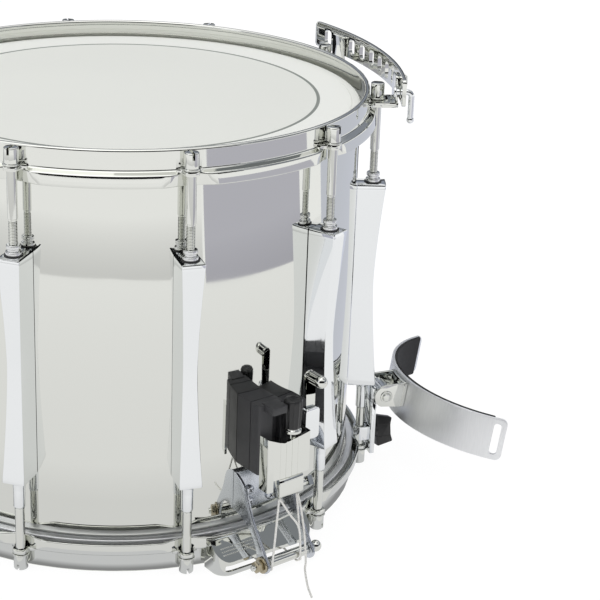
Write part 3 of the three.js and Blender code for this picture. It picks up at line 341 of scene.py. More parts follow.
# %% Chrome plate
# Polished steel or zinc with bright chrome on it: a mirror with a cool tint. Sheet metal is never
# quite flat, so a faint waviness bends the picture in it, 60 mm long on sheet and 22 mm on castings,
# and wiping leaves slightly duller patches a few centimetres wide.
def chrome_plate(name, text, wave_mm, wave_height_mm, dull):
    finish, tree = new_finish(name)
    surface(tree, {
        "Base Color": colour(text), "Metallic": 1.0,
        "Roughness": ranged(tree, noise(tree, 28.0, 3.0), dull * 0.5, dull, 0.35, 0.7),
        "Normal": bumped(tree, noise(tree, 1000 / wave_mm, 1.0), wave_height_mm),
    })
    return finish


chrome = chrome_plate("chrome plate on steel", "#e0e1dc", 60, 0.02, 0.05)
cast_chrome = chrome_plate("chrome plate on zinc casting", "#eef0f1", 22, 0.012, 0.07)

# %% Brushed aluminium
# Extruded aluminium strip, brushed along its length. The fine lines spread the highlight across the
# strip, and are drawn wider apart than the real ones, so that they show.
BAND_LEAN = radians(8.3)


def brushed_aluminium(name, lean, level_scale, upward_scale):
    finish, tree = new_finish(name)
    laid = add(tree, "ShaderNodeMapping", {
        "Vector": place_in(tree), "Rotation": (0.0, lean, 0.0),
        "Scale": (level_scale, level_scale, upward_scale),
    })
    lines = noise(tree, 1.0, 2.0, laid.outputs["Vector"])
    surface(tree, {
        "Base Color": mixed(tree, lines, "#e6e7e9", "#f6f7f8"), "Metallic": 0.85,
        "Roughness": ranged(tree, lines, 0.30, 0.46), "Normal": bumped(tree, lines, 0.02, 0.6),
    })
    return finish


band_aluminium = brushed_aluminium("brushed aluminium band", BAND_LEAN, 900.0, 40.0)
rail_aluminium = brushed_aluminium("brushed aluminium rail", 0.0, 60.0, 1600.0)

# %% Plain metals
# Zinc-plated steel for screws and pins, stainless wire for the snares, nickel on the lugs' inserts.
def plain_metal(name, text, roughness, grain_mm, depth_mm):
    finish, tree = new_finish(name)
    grain = noise(tree, 1000 / grain_mm, 3.0)
    surface(tree, {
        "Base Color": colour(text), "Metallic": 1.0,
        "Roughness": ranged(tree, grain, roughness * 0.7, roughness * 1.3),
        "Normal": bumped(tree, grain, depth_mm),
    })
    return finish


zinc = plain_metal("zinc plated steel", "#cfd3da", 0.26, 1.5, 0.0015)
nickel = plain_metal("bright nickel", "#dedfdf", 0.14, 4.0, 0.004)
brassy = plain_metal("yellow chromate nut", "#b3aa94", 0.22, 2.0, 0.008)
snare_steel = plain_metal("snare wire steel", "#c9cbcf", 0.22, 2.0, 0.004)

# %% Plastics and foam
# The strainer's housing is moulded nylon, matt and very dark. The knob, the wing screw and the lugs'
# washers are a darker plastic with more shine. The knee pad is closed-cell foam: near black, with
# the fine pebble of its skin, 1.2 mm across.
def plastic(name, text, roughness, grain_mm, depth_mm):
    finish, tree = new_finish(name)
    surface(tree, {
        "Base Color": colour(text),
        "Roughness": ranged(tree, noise(tree, 60.0, 2.0), roughness - 0.08, roughness + 0.08),
        "Normal": bumped(tree, noise(tree, 1000 / grain_mm, 4.0), depth_mm),
    })
    return finish


housing_nylon = plastic("matt grey nylon", "#39393b", 0.5, 0.8, 0.03)
black_plastic = plastic("black plastic", "#232324", 0.36, 0.8, 0.015)
foam = plastic("pebbled foam", "#262627", 0.8, 1.2, 0.25)

# %% Drum heads
# The upper head is polyester film with a coat of warm white, rough like fine paper, and a thin grey
# ring 146 mm from its middle, outside which the coat is a little whiter. The lower head is clear
# film, so the snares show through it.
RING_R = 146.0
RING_HALF = 1.2


def coated_film():
    finish, tree = new_finish("coated film")
    away = add(tree, "ShaderNodeMath", {0: from_axis(tree), 1: RING_R * MM}, operation="SUBTRACT")
    away = away.outputs["Value"]
    gap = add(tree, "ShaderNodeMath", {0: away}, operation="ABSOLUTE")
    ink = ranged(tree, gap.outputs["Value"], 1.0, 0.0, (RING_HALF - 0.15) * MM, (RING_HALF + 0.25) * MM)
    coat = mixed(tree, noise(tree, 9.0, 2.0), "#f4f5ee", "#f0f1ea")
    whole = mixed(tree, ranged(tree, away, 0.0, 1.0, 0.0, 1.0 * MM), coat, "#fbfcf6")
    surface(tree, {
        "Base Color": mixed(tree, ink, whole, "#8f948e"), "Roughness": 0.62,
        "Normal": bumped(tree, noise(tree, 1400.0, 3.0), 0.02, 0.5),
    })
    return finish


def clear_film():
    finish, tree = new_finish("clear film")
    rough = ranged(tree, noise(tree, 40.0, 2.0), 0.12, 0.28)
    surface(tree, {"Base Color": colour("#e6e8ea"), "Roughness": rough, "Alpha": 0.42})
    return finish


batter_coat = coated_film()
film = clear_film()

# %% Cord
# Braided nylon cord 1.6 mm thick, off-white. The strands cross in small lozenges 0.9 mm long. They
# are drawn in UV space, which runs along the cord in u and round it in v. Each lozenge greys towards
# its edge: painted shade in the grooves between the strands.
def braided_cord():
    finish, tree = new_finish("braided nylon cord")
    braid = add(tree, "ShaderNodeTexVoronoi", {"Vector": place_in(tree, "UV"), "Scale": 1.0})
    braid = braid.outputs["Distance"]
    surface(tree, {
        # The grey towards each lozenge's edge is painted shade in the grooves between strands.
        "Base Color": mixed(tree, braid, "#fbfaf7", "#d8d6cf"), "Roughness": 0.7,
        "Normal": bumped(tree, braid, 0.12, 0.8, invert=True),
    })
    return finish


cord_finish = braided_cord()

# %% [markdown]
# Every CAD node is dressed first, with its finish by its slot. Flat-sided pieces keep the CAD's own
# mesh: its vertices are welded, and a small bevel gives their edges the radius that sheet metal or
# a moulding has. The round and turned pieces get finer meshes below, which stand for their nodes.

# %% Dress the CAD nodes
FINISHES = {
    "chrome": chrome, "aluminium": rail_aluminium, "zinc_steel": zinc, "wire_steel": snare_steel,
    "black_plastic": black_plastic, "foam": foam, "coated_film": batter_coat,
    "clear_film": film, "cord": cord_finish,
}
slots = {part["node"]: part["material_slot"] for part in frame["record"]["subparts"]}


def dress(node, finish, edge_mm=0.3):
    """Gives a CAD node its finish and rounds its sharp edges."""
    node.data.materials.clear()
    node.data.materials.append(finish)
    weld = node.modifiers.new("weld", "WELD")
    weld.merge_threshold = 0.01 * MM
    edge = node.modifiers.new("edges", "BEVEL")
    edge.width = edge_mm * MM
    edge.segments = 2
    edge.limit_method = "ANGLE"
    edge.angle_limit = radians(32)
    edge.harden_normals = True
    for face in node.data.polygons:
        face.use_smooth = True


for name, node in nodes.items():
    dress(node, FINISHES[slots[name]])
print("dressed", len(nodes), "nodes")

# %% [markdown]
# Mesh tools. Shapes are written in millimetres in a local frame: x along the drum's tangent, depth
# outwards from its axis and z upwards. A shape is a list of points and a list of faces, so several
# can be joined in one piece before it is put in place.

# %% Outlines and shapes
def rounded(corners, steps=4):
    """A closed outline of (u, v, radius) corners, with an arc at each corner that has a radius."""
    outline = []
    for i, (u, v, radius) in enumerate(corners):
        here = np.array((u, v), float)
        before = np.array(corners[i - 1][:2], float) - here
        after = np.array(corners[(i + 1) % len(corners)][:2], float) - here
        if radius <= 0:
            outline.append((u, v))
            continue
        before_length = np.linalg.norm(before)
        after_length = np.linalg.norm(after)
        before = before / before_length
        after = after / after_length
        half = acos(max(-1.0, min(1.0, float(before @ after)))) / 2
        cut_back = min(radius / tan(half), 0.49 * before_length, 0.49 * after_length)
        bend_r = cut_back * tan(half)
        middle = before + after
        centre = here + middle / np.linalg.norm(middle) * (bend_r / sin(half))
        start = here + before * cut_back - centre
        end = here + after * cut_back - centre
        for k in range(steps + 1):
            share = k / steps
            turn = pi - 2 * half
            point = (sin((1 - share) * turn) * start + sin(share * turn) * end) / sin(turn)
            outline.append(tuple(centre + point))
    return outline


def lathe(outline, angles, press=None):
    """An outline of (radius, z) turned round the local z axis. press may move a point inwards."""
    points = []
    for angle in angles:
        for r, z in outline:
            reach = press(r, z, angle) if press else r
            points.append((reach * sin(angle), -reach * cos(angle), z))
    count, steps = len(outline), len(angles)
    faces = []
    for i in range(steps):
        for k in range(count):
            a, b = i * count + k, i * count + (k + 1) % count
            c, d = ((i + 1) % steps) * count + (k + 1) % count, ((i + 1) % steps) * count + k
            faces.append((a, b, c, d))
    return points, faces


def even(steps):
    """Angles spread evenly round a circle."""
    return [2 * pi * i / steps for i in range(steps)]


def loft(rows, capped=True):
    """Skins closed rows of equally many points, with a flat cap at each end."""
    points = [tuple(p) for row in rows for p in row]
    count = len(rows[0])
    faces = []
    for i in range(len(rows) - 1):
        for k in range(count):
            a, b = i * count + k, i * count + (k + 1) % count
            faces.append((a, b, b + count, a + count))
    if capped:
        faces.append(tuple(range(count - 1, -1, -1)))
        faces.append(tuple(range((len(rows) - 1) * count, len(rows) * count)))
    return points, faces


def inset(outline, amount):
    """An outline moved inwards by amount, for a bevelled edge."""
    points = np.array(outline, float)
    area = 0.5 * np.sum(points[:, 0] * np.roll(points[:, 1], -1) - np.roll(points[:, 0], -1) * points[:, 1])
    side = 1.0 if area > 0 else -1.0
    result = []
    for i in range(len(points)):
        before = points[i] - points[i - 1]
        after = points[(i + 1) % len(points)] - points[i]
        before = before / max(np.linalg.norm(before), 1e-9)
        after = after / max(np.linalg.norm(after), 1e-9)
        normal = np.array((-(before[1] + after[1]), before[0] + after[0])) * side
        normal = normal / max(np.linalg.norm(normal), 1e-9)
        lean = max(0.35, float(normal @ (np.array((-after[1], after[0])) * side)))
        result.append(tuple(points[i] + normal * amount / lean))
    return result


def slab(outline, low, high, edge, lay):
    """A flat piece with softened edges. lay turns (u, v, level) into a point."""
    tight = inset(outline, edge)
    mid = inset(outline, edge * 0.3)
    levels = (
        (tight, low), (mid, low + edge * 0.3), (outline, low + edge),
        (outline, high - edge), (mid, high - edge * 0.3), (tight, high),
    )
    return loft([[lay(u, v, level) for u, v in row] for row, level in levels])


def plan(u, v, level):
    """Outline in x and depth, thickness along z."""
    return (u, -v, level)


def front(u, v, level):
    """Outline in x and z, thickness along the depth."""
    return (u, -level, v)


def side(u, v, level):
    """Outline in depth and z, thickness along x."""
    return (level, -u, v)


def prism(outline, low, high, lay):
    """An outline pushed straight from low to high, with sharp edges."""
    return loft([[lay(u, v, level) for u, v in outline] for level in (low, high)])


def oblong(u0, v0, u1, v1, near=0, far=None, steps=4):
    """A rectangle whose corners have the radius near at v0, and far, or the same, at v1."""
    other = near if far is None else far
    return rounded([(u0, v0, near), (u1, v0, near), (u1, v1, other), (u0, v1, other)], steps)


def disc(radius, low, high, low_edge=0, high_edge=0):
    """The outline of a solid turned bar, from its line out to its radius."""
    return rounded([(0, low, 0), (radius, low, low_edge), (radius, high, high_edge), (0, high, 0)])


def arc(radius, start, end, steps, u=0.0, v=0.0):
    """Points round (u, v). The angle starts at the u axis and grows towards v."""
    return [(u + radius * cos(a), v + radius * sin(a)) for a in np.linspace(start, end, steps)]


def ball(radius, centre, steps=20):
    """The outline of a turned ball."""
    return arc(radius, -pi / 2, pi / 2, steps, v=centre)


def moved(shape, x=0.0, depth=0.0, z=0.0, turn=None):
    """A shape turned by a matrix, then moved."""
    points, faces = shape
    turned = [(turn @ Vector(p)) if turn else Vector(p) for p in points]
    return [(p[0] + x, p[1] - depth, p[2] + z) for p in turned], faces


def joined(*shapes):
    """Several shapes as one."""
    points, faces = [], []
    for more_points, more_faces in shapes:
        first = len(points)
        points += list(more_points)
        faces += [tuple(first + i for i in face) for face in more_faces]
    return points, faces


def build(name, shape, finish, azimuth=None, smooth=38):
    """Makes a mesh object of a local shape in millimetres, at an azimuth round the drum."""
    points, faces = shape
    mesh = bpy.data.meshes.new(name)
    mesh.from_pydata([Vector(p) * MM for p in points], [], faces)
    solid = bmesh.new()
    solid.from_mesh(mesh)
    bmesh.ops.remove_doubles(solid, verts=solid.verts, dist=0.001 * MM)
    bmesh.ops.recalc_face_normals(solid, faces=solid.faces)
    solid.to_mesh(mesh)
    solid.free()
    if azimuth is not None:
        mesh.transform(turned_to(azimuth))
    obj = bpy.data.objects.new(name, mesh)
    mesh.materials.append(finish)
    bpy.context.scene.collection.objects.link(obj)
    soften(obj, smooth)
    return obj


def soften(obj, smooth):
    """Smooth shading except over edges sharper than this many degrees."""
    obj.data.shade_smooth()
    obj.data.set_sharp_from_angle(angle=radians(smooth))


def evaluated(obj):
    """A plain mesh of what an object's modifiers make of it."""
    bpy.context.view_layer.update()
    return bpy.data.meshes.new_from_object(obj.evaluated_get(bpy.context.evaluated_depsgraph_get()))


def combine(obj, tools, operation="DIFFERENCE", smooth=38):
    """Cuts tools out of a mesh, or joins them to it, and takes the tools away."""
    for tool in tools:
        step = obj.modifiers.new("step", "BOOLEAN")
        step.operation = operation
        step.solver = "MANIFOLD"
        step.object = tool
    result = evaluated(obj)
    obj.modifiers.clear()
    old = obj.data
    obj.data = result
    bpy.data.meshes.remove(old)
    for tool in tools:
        bpy.data.objects.remove(tool)
    soften(obj, smooth)
    return obj


def stand(obj, slot_name, *names, body="drum"):
    """Puts a finished piece in place of its CAD nodes, on a body."""
    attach(obj, body)
    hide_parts(*names)
    print(f"{obj.name}: {len(obj.data.polygons)} faces")


# %% [markdown]
# Repeats. Lugs, rods, the gates' dots and the snares' wires each come from one template, which a
# Geometry Nodes tree places round the drum. The result is turned to a plain mesh, with its material
# set in the tree, and the template is taken away.

# %% Ring of copies
def copies(name, template, count=LUG_COUNT, first=FIRST_LUG, step=LUG_PITCH, shift=(0.0, 0.0, 0.0)):
    """Copies of a template, each turned about the drum's axis by step and moved by shift."""
    tree = bpy.data.node_groups.new(name, "GeometryNodeTree")
    tree.interface.new_socket("Geometry", in_out="OUTPUT", socket_type="NodeSocketGeometry")
    line = add(tree, "GeometryNodeMeshLine", {"Count": count, "Start Location": tuple(AXIS), "Offset": shift})
    number = add(tree, "GeometryNodeInputIndex").outputs["Index"]
    angle = add(tree, "ShaderNodeMath", {0: number, 1: step, 2: first}, operation="MULTIPLY_ADD")
    turn = add(tree, "ShaderNodeCombineXYZ", {"Z": angle.outputs["Value"]})
    source = add(tree, "GeometryNodeObjectInfo", {"Object": template})
    placed = add(tree, "GeometryNodeInstanceOnPoints", {
        "Points": line.outputs["Mesh"], "Instance": source.outputs["Geometry"],
        "Rotation": turn.outputs["Vector"],
    })
    real = add(tree, "GeometryNodeRealizeInstances", {"Geometry": placed.outputs["Instances"]})
    painted = add(tree, "GeometryNodeSetMaterial", {
        "Geometry": real.outputs["Geometry"], "Material": template.data.materials[0],
    })
    add(tree, "NodeGroupOutput", {"Geometry": painted.outputs["Geometry"]})
    holder = bpy.data.objects.new(name, bpy.data.meshes.new(name))
    bpy.context.scene.collection.objects.link(holder)
    holder.modifiers.new("copies", "NODES").node_group = tree
    result = evaluated(holder)
    holder.modifiers.clear()
    holder.data = result
    bpy.data.node_groups.remove(tree)
    bpy.data.objects.remove(template)
    return holder

# %% [markdown]
# The shell is a rolled tube 1.2 mm thick. Each hoop is one pressed ring: a beaded rim, a shoulder and
# a flared skirt. Round each rod the skirt is pressed inwards in a soft hollow, and an ear carries
# the rod's head above it. The ears are joined and drilled, so the hoop stays one closed piece.

# %% Shell and hoops
ROUND = 256
SHELL_WALL = 1.2
SHELL_END = 12.4
HOOP_INNER = 181.7
BEAD_INNER = 180.2
SKIRT_R = 190.2
SHOULDER = 15.2
HOLLOW_DEEP, HOLLOW_SHALLOW = 183.6, 185.6
EAR_TOP = 13.1
EAR_THICK = 3.4
BORE_R = 3.8

shell_outline = rounded([
    (SHELL_R, SHELL_END, 0.6), (SHELL_R, HEIGHT - SHELL_END, 0.6),
    (SHELL_R - SHELL_WALL, HEIGHT - SHELL_END, 0.4), (SHELL_R - SHELL_WALL, SHELL_END, 0.4),
])
stand(build("shell_tube", lathe(shell_outline, even(ROUND)), chrome, 0.0), "chrome", "shell")

hoop_outline = rounded([
    (HOOP_INNER, 3.6, 0.8), (BEAD_INNER, 3.4, 1.5), (BEAD_INNER, 0, 1.5), (HOOP_R, 0, 1.5),
    (HOOP_R, 14.8, 1.6), (189.2, 16.2, 1.6), (SKIRT_R, 24.8, 0.7), (188.0, 24.8, 0.7),
    (187.0, 18.4, 1.0), (HOOP_INNER, 18.4, 0.8),
], 5)
ear_outline = rounded([
    (-9.0, 182.5, 0), (-9.0, 185.5, 0.5), (-5.4, 187.2, 3.0), (-5.2, 195.2, 5.1),
    (5.2, 195.2, 5.1), (5.4, 187.2, 3.0), (9.0, 185.5, 0.5), (9.0, 182.5, 0),
], 6)


def from_rim(upper):
    """A function from the depth under the upper rim, or over the lower one, to the height."""
    return (lambda depth: HEIGHT - depth) if upper else (lambda depth: depth)


def round_bar(radius, low, high, sides, edge=0.4):
    """An upright bar with softened ends."""
    ring = even(sides)
    rows = []
    for r, z in ((radius - edge, low), (radius - edge * 0.3, low + edge * 0.3), (radius, low + edge),
                 (radius, high - edge), (radius - edge * 0.3, high - edge * 0.3), (radius - edge, high)):
        rows.append([(r * cos(a), r * sin(a), z) for a in ring])
    return loft(rows)


def rod_offset(angle):
    """How far an angle lies from the nearest rod, in millimetres along the hoop."""
    share = (angle - FIRST_LUG) / LUG_PITCH
    return abs(share - round(share)) * LUG_PITCH * HOOP_R


def hoop_angles():
    """Angles round a hoop, closer together near the rods."""
    near = [k * 0.9 / HOOP_R for k in range(-23, 24)]
    reach = LUG_PITCH - near[-1] * 2
    between = [near[-1] + reach * k / 15 for k in range(1, 15)]
    return [FIRST_LUG + i * LUG_PITCH + a for i in range(LUG_COUNT) for a in near + between]


def hoop(name, upper):
    """A hoop with its ears, holes and pressed hollows."""
    level = from_rim(upper)

    def press(r, z, angle):
        depth = level(z)
        if depth < SHOULDER or r < HOLLOW_DEEP - 0.4:
            return r
        half = 12.0 + 7.0 * (depth - SHOULDER) / 9.6
        share = min(1.0, rod_offset(angle) / half)
        hollow = (1 - share * share * (3 - 2 * share)) ** 0.8
        return r - max(0.0, r - (HOLLOW_DEEP if r < 188.3 else HOLLOW_SHALLOW)) * hollow

    ring = build(name, lathe([(r, level(d)) for r, d in hoop_outline], hoop_angles(), press), chrome, 0.0)
    ears, holes = [], []
    low, high = sorted((level(EAR_TOP), level(EAR_TOP + EAR_THICK)))
    bore = moved(round_bar(BORE_R, low - 4, high + 4, 32), depth=ROD_CIRCLE)
    for i in range(LUG_COUNT):
        azimuth = FIRST_LUG + i * LUG_PITCH
        ears.append(build("ear", slab(ear_outline, low, high, 0.7, plan), chrome, azimuth))
        holes.append(build("bore", bore, chrome, azimuth))
    combine(ring, ears, "UNION")
    return combine(ring, holes, smooth=34)


stand(hoop("upper_hoop", True), "chrome", "top_hoop")

# %% Snare gates
# Under each end of the snares the lower hoop has a pressed bay with a sloping roof. Its plan and its
# section are both rounded, and the bay is what the two have in common, less the same shape one
# sheet thickness further in.
GATE_HALF = 42.0
GATE_FRONT = 203.0
GATE_BACK = 182.4
GATE_EAVES, GATE_TOP = 10.5, 23.6
SHEET = 2.0


def bay_part(inward, floor, azimuth, shift):
    """The solid that plan and section share, moved inwards by a distance."""
    edge = GATE_HALF - inward
    face = GATE_FRONT - inward
    eaves = GATE_EAVES - inward
    top = GATE_TOP - inward
    footprint = oblong(shift - edge, GATE_BACK, shift + edge, face, 0, 11 - inward, 9)
    section = rounded([
        (GATE_BACK - 1, floor, 0), (face + 1, floor, 0), (face + 1, eaves, 0), (face, eaves, 2.4),
        (188.2, top, 3.0), (GATE_BACK - 1, top, 0),
    ], 6)
    body = build("bay", prism(footprint, floor, 30.0, plan), chrome, azimuth)
    roof = build("roof", prism(section, -50.0, 50.0, side), chrome, azimuth)
    return combine(body, [roof], "INTERSECT")


def add_gate(ring, azimuth, shift):
    """Opens the hoop at an azimuth and joins a bay to it."""
    def opening(half, low, high, radius, near, far):
        outline = oblong(shift - half, low, shift + half, high, radius)
        return build("opening", prism(outline, near, far, front), chrome, azimuth)

    bay = bay_part(0.0, 0.0, azimuth, shift)
    combine(bay, [
        bay_part(SHEET, -4.0, azimuth, shift), opening(37, 3.2, 8, 1.2, 190.0, 210.0),
        build("room", round_bar(184.6, -10, 40, ROUND), chrome, azimuth),
    ])
    combine(ring, [opening(26, 3, 13, 2, 170.0, 186.0)])
    combine(ring, [bay], "UNION", 34)


lower_hoop = hoop("lower_hoop", False)
add_gate(lower_hoop, GATE_AT, -2.0)
add_gate(lower_hoop, GATE_AT + pi, 2.0)
stand(lower_hoop, "chrome", "bottom_hoop")

# Each gate's roof has three short rows of raised dots, pressed in from below for stiffness.
ROOF_TILT = Matrix.Rotation(radians(41.5), 3, "X")
DOT_PITCH = 1.65
DOTS = 18
dot_outline = rounded([(0, -0.3, 0), (0.62, -0.3, 0), (0.62, 0.12, 0.1), (0.3, 0.42, 0.2), (0, 0.42, 0)], 3)
dot = lathe(dot_outline, even(10))
for end, azimuth, start in (("front", GATE_AT, -38.0), ("rear", GATE_AT + pi, -36.0)):
    row = joined(*[
        moved(dot, start, GATE_FRONT - 14.8 * share, GATE_EAVES + (GATE_TOP - GATE_EAVES) * share, ROOF_TILT)
        for share in (0.32, 0.45, 0.58)
    ])
    step = (turned_to(azimuth).to_3x3() @ Vector((DOT_PITCH, 0, 0))) * MM
    dots = copies(f"{end}_gate_dots", build("dot", row, chrome), DOTS, azimuth, 0.0, tuple(step))
    stand(dots, "chrome", "bottom_hoop")

# %% Heads
# A low step at the film's edge leads to the shell's edge. There it turns down with a bend of 2.6 mm,
# into a collar that the flesh hoop holds.
HEAD_OUTLINE = (
    (0.0, 11.5, 0), (170.6, 11.5, 0.8), (171.6, 12.1, 0.8), (178.55, 12.1, 2.6), (178.6, 25.2, 0),
    (178.1, 25.2, 0), (178.05, 12.6, 2.1), (171.3, 12.6, 0.8), (170.3, 12.0, 0.8), (0.0, 12.0, 0),
)
HEAD_SIDES = 224
for name, upper, finish, slot_name, node in (
    ("upper_film", True, batter_coat, "coated_film", "batter_head"),
    ("lower_film", False, film, "clear_film", "snare_side_head"),
):
    outline = rounded([(r, from_rim(upper)(depth), radius) for r, depth, radius in HEAD_OUTLINE], 6)
    stand(build(name, lathe(outline, even(HEAD_SIDES)), finish, 0.0), slot_name, node)
for name, upper, node in (
    ("upper_flesh_ring", True, "batter_flesh_hoop"), ("lower_flesh_ring", False, "snare_side_flesh_hoop"),
):
    outline = oblong(178.9, from_rim(upper)(18.7), 184.1, from_rim(upper)(25.5), 0.8)
    stand(build(name, lathe(outline, even(HEAD_SIDES)), rail_aluminium, 0.0), "aluminium", node)

# %% [markdown]
# A lug is one casting from a foot on the shell to a front face that narrows to a waist. Its base
# stays 16.8 mm wide, so the sides lean in towards the waist. The insert at the top is two nickel
# rings over a black plastic washer, which stands both for the lug's black nylon and for painted
# shade in the gap at the insert's foot. The rods' thread is drawn as rings at its true pitch of 1.06 mm.

# %% Lugs
LUG_LOW = 71.0
LUG_HIGH = 238.0
LUG_WAIST = 158.0
LUG_EDGE = 0.9


def lug_row(z, shrink=0.0):
    """One level of the casting: base corners fixed, front corners drawn in at the waist."""
    span = LUG_WAIST - LUG_LOW if z < LUG_WAIST else LUG_HIGH - LUG_WAIST
    share = min(1.0, abs(z - LUG_WAIST) / span) ** 1.5
    half = 5.1 + 3.3 * share - shrink
    reach = SHELL_R + 16.4 + 5.8 * share - shrink
    base = 8.4 - shrink
    outline = rounded([
        (-base, SHELL_R + 0.3, 0), (base, SHELL_R + 0.3, 0), (half, reach, 0.9), (-half, reach, 0.9),
    ], 4)
    return [plan(u, v, z) for u, v in outline]


def lug_body():
    straight = LUG_HIGH - LUG_LOW - 2 * LUG_EDGE
    ends = ((0.0, LUG_EDGE), (0.3, 0.3), (LUG_EDGE, 0.0))
    rows = [lug_row(LUG_LOW + up, shrink) for up, shrink in ends]
    rows += [lug_row(LUG_LOW + LUG_EDGE + straight * i / 40) for i in range(1, 40)]
    return loft(rows + [lug_row(LUG_HIGH - down, shrink) for down, shrink in reversed(ends)])


def turned(outline, sides=40, x=0.0, depth=ROD_CIRCLE):
    """A small turned part on an upright line, on the rod's unless told, from an outline of (radius, z)."""
    return moved(lathe(outline, even(sides)), x=x, depth=depth)


sleeve = rounded([
    (0, 50, 0), (4.3, 50, 0.5), (4.3, 63.4, 0.8), (4.6, 68, 1.0), (6.3, 71, 0.5), (6.3, 73, 0), (0, 73, 0),
])
rings = rounded([
    (0, 237.5, 0), (5.6, 237.5, 0), (5.6, 241.2, 0.9), (4.1, 241.5, 0.2), (4.1, 242.9, 0.2),
    (5.0, 243.2, 0.5), (5.0, 245.8, 0.7), (0, 245.8, 0),
])
lugs = copies("lug_castings", build("lug", joined(lug_body(), turned(sleeve)), cast_chrome))
stand(lugs, "chrome", *[f"lug_{i:02d}" for i in range(1, LUG_COUNT + 1)])
stand(copies("lug_inserts", build("insert", turned(rings), nickel)), "chrome", "lug_01")
# A black plastic washer, which stands both for the lug's black nylon and for painted shade in the gap at the
# insert's foot.
washer = build("washer", turned(disc(6.7, 237.9, 238.9, 0, 0.3)), black_plastic)
stand(copies("lug_washers", washer), "black_plastic", "lug_01")

# %% Rods
THREAD_PITCH = 1.06
CREST_R, ROOT_R, SHANK_R, STEM_R = 3.0, 2.45, 2.9, 3.5
HEAD_R, FLANGE_R, FLANGE_THICK = 5.1, 6.0, 1.3
SLOT_DEEP, SLOT_WIDE_HALF = 4.6, 0.9
RAIL_LUGS = (2, 3)
RAIL_LIFT = 2.3


def thread(low, high):
    """A threaded length as an outline of (radius, z), from low to high."""
    outline = []
    for i in range(int((high - low) / THREAD_PITCH)):
        z = low + i * THREAD_PITCH
        outline += [(ROOT_R, z), (CREST_R, z + 0.36 * THREAD_PITCH), (CREST_R, z + 0.6 * THREAD_PITCH)]
    return outline


def rod_template(upper, lift=0.0):
    """A slotted tension rod that stands on the local z axis, in the heights of its lug."""
    if upper:
        low, high = 301.0 + lift, HEIGHT - 0.6 + lift
        stem = [(0, 219.5)] + thread(219.5, 263.4)
        stem += [(CREST_R, 263.5), (STEM_R, 264.0), (STEM_R, low + 1), (0, low + 1)]
        flange = (low, low + FLANGE_THICK)
        slot = (high - SLOT_DEEP, high + 2)
    else:
        low, high = 0.6, 12.8
        stem = [(0, high - 1), (STEM_R, high - 1), (STEM_R, 48.8)]
        stem += [(CREST_R, 49.3), (SHANK_R, 90.0), (0, 90.0)]
        flange = (high - FLANGE_THICK, high)
        slot = (low - 2, low + SLOT_DEEP)
    part = build("rod_head", lathe(disc(HEAD_R, low, high, 0.9, 0.9), even(48)), chrome)
    tool = prism(oblong(-SLOT_WIDE_HALF, -9, SLOT_WIDE_HALF, 9), *slot, plan)
    combine(part, [build("slot", tool, chrome)])
    plate = lathe(disc(FLANGE_R, *flange, 0.5, 0.5), even(48))
    rest = build("rod_stem", joined(lathe(stem, even(32)), plate), chrome)
    mesh = bmesh.new()
    mesh.from_mesh(part.data)
    mesh.from_mesh(rest.data)
    bmesh.ops.translate(mesh, verts=mesh.verts, vec=(0, -ROD_CIRCLE * MM, 0))
    mesh.to_mesh(rest.data)
    mesh.free()
    bpy.data.objects.remove(part)
    soften(rest, 38)
    return rest


free_lugs = [(RAIL_LUGS[-1] + 1 + i) % LUG_COUNT for i in range(LUG_COUNT - len(RAIL_LUGS))]
for name, lug_numbers, lift in (("upper_rods", free_lugs, 0.0), ("rail_rods", RAIL_LUGS, RAIL_LIFT)):
    first = FIRST_LUG + lug_numbers[0] * LUG_PITCH
    rods = copies(name, rod_template(True, lift), len(lug_numbers), first)
    stand(rods, "chrome", *[f"top_rod_{i + 1:02d}" for i in lug_numbers])
lower_rods = copies("lower_rods", rod_template(False))
stand(lower_rods, "chrome", *[f"bottom_rod_{i:02d}" for i in range(1, LUG_COUNT + 1)])

# %% [markdown]
# Strainer brackets. A plate follows the shell and is held by four pan-head screws; two sickle-shaped
# arms carry a roller in front of the gate. Snares and strainer stand 1.5 degrees off the gate.

# %% Brackets and rollers
ARM_HALF = 19.0
ARM_SHEET = 2.3
ROLLER_OUT = 36.0
ROLLER_DEPTH = SHELL_R + ROLLER_OUT
ROLLER_Z = 8.0
EYE_R = 7.0


def curve(points, steps):
    """A smooth line that passes through every given point, as a list of points."""
    points = [Vector(p) for p in points]
    ends = [points[0]] + points + [points[-1]]
    line = []
    for i in range(1, len(ends) - 2):
        a, b, c, d = ends[i - 1:i + 3]
        for t in (k / steps for k in range(steps)):
            cubic = (3 * b - a - 3 * c + d) * t ** 3
            line.append(0.5 * (2 * b + (c - a) * t + (2 * a - 5 * b + 4 * c - d) * t * t + cubic))
    return line + [points[-1]]


def arm_line(*shares):
    """Points of an arm's edge, as shares of its reach and of its rise."""
    return [(SHELL_R + ROLLER_OUT * reach, ROLLER_Z + 59.0 * rise) for reach, rise in shares]


def arm_outline():
    outer = arm_line((0.01, 1), (0.34, 0.86), (0.59, 0.53), (0.99, 0.18)) + [(ROLLER_DEPTH + EYE_R, ROLLER_Z)]
    inner = [(ROLLER_DEPTH - EYE_R, ROLLER_Z)] + arm_line((0.72, 0.2), (0.45, 0.39), (0.01, 0.5))
    eye = arc(EYE_R, -0.15, 0.15 - pi, 16, ROLLER_DEPTH, ROLLER_Z)
    return [tuple(p) for p in curve(outer, 7)] + eye + [tuple(p) for p in curve(inner, 7)]


def bar_along(outline, depth, z, sides=40, start=0.0):
    """A turned part along x, from an outline of (radius, x)."""
    angles = [start + a for a in even(sides)]
    return moved(lathe(outline, angles), depth=depth, z=z, turn=Matrix.Rotation(pi / 2, 3, "Y"))


def bar_out(outline, x, z, sides=40):
    """A turned part along the depth, from an outline of (radius, depth)."""
    return moved(lathe(outline, even(sides)), x=x, z=z, turn=Matrix.Rotation(pi / 2, 3, "X"))


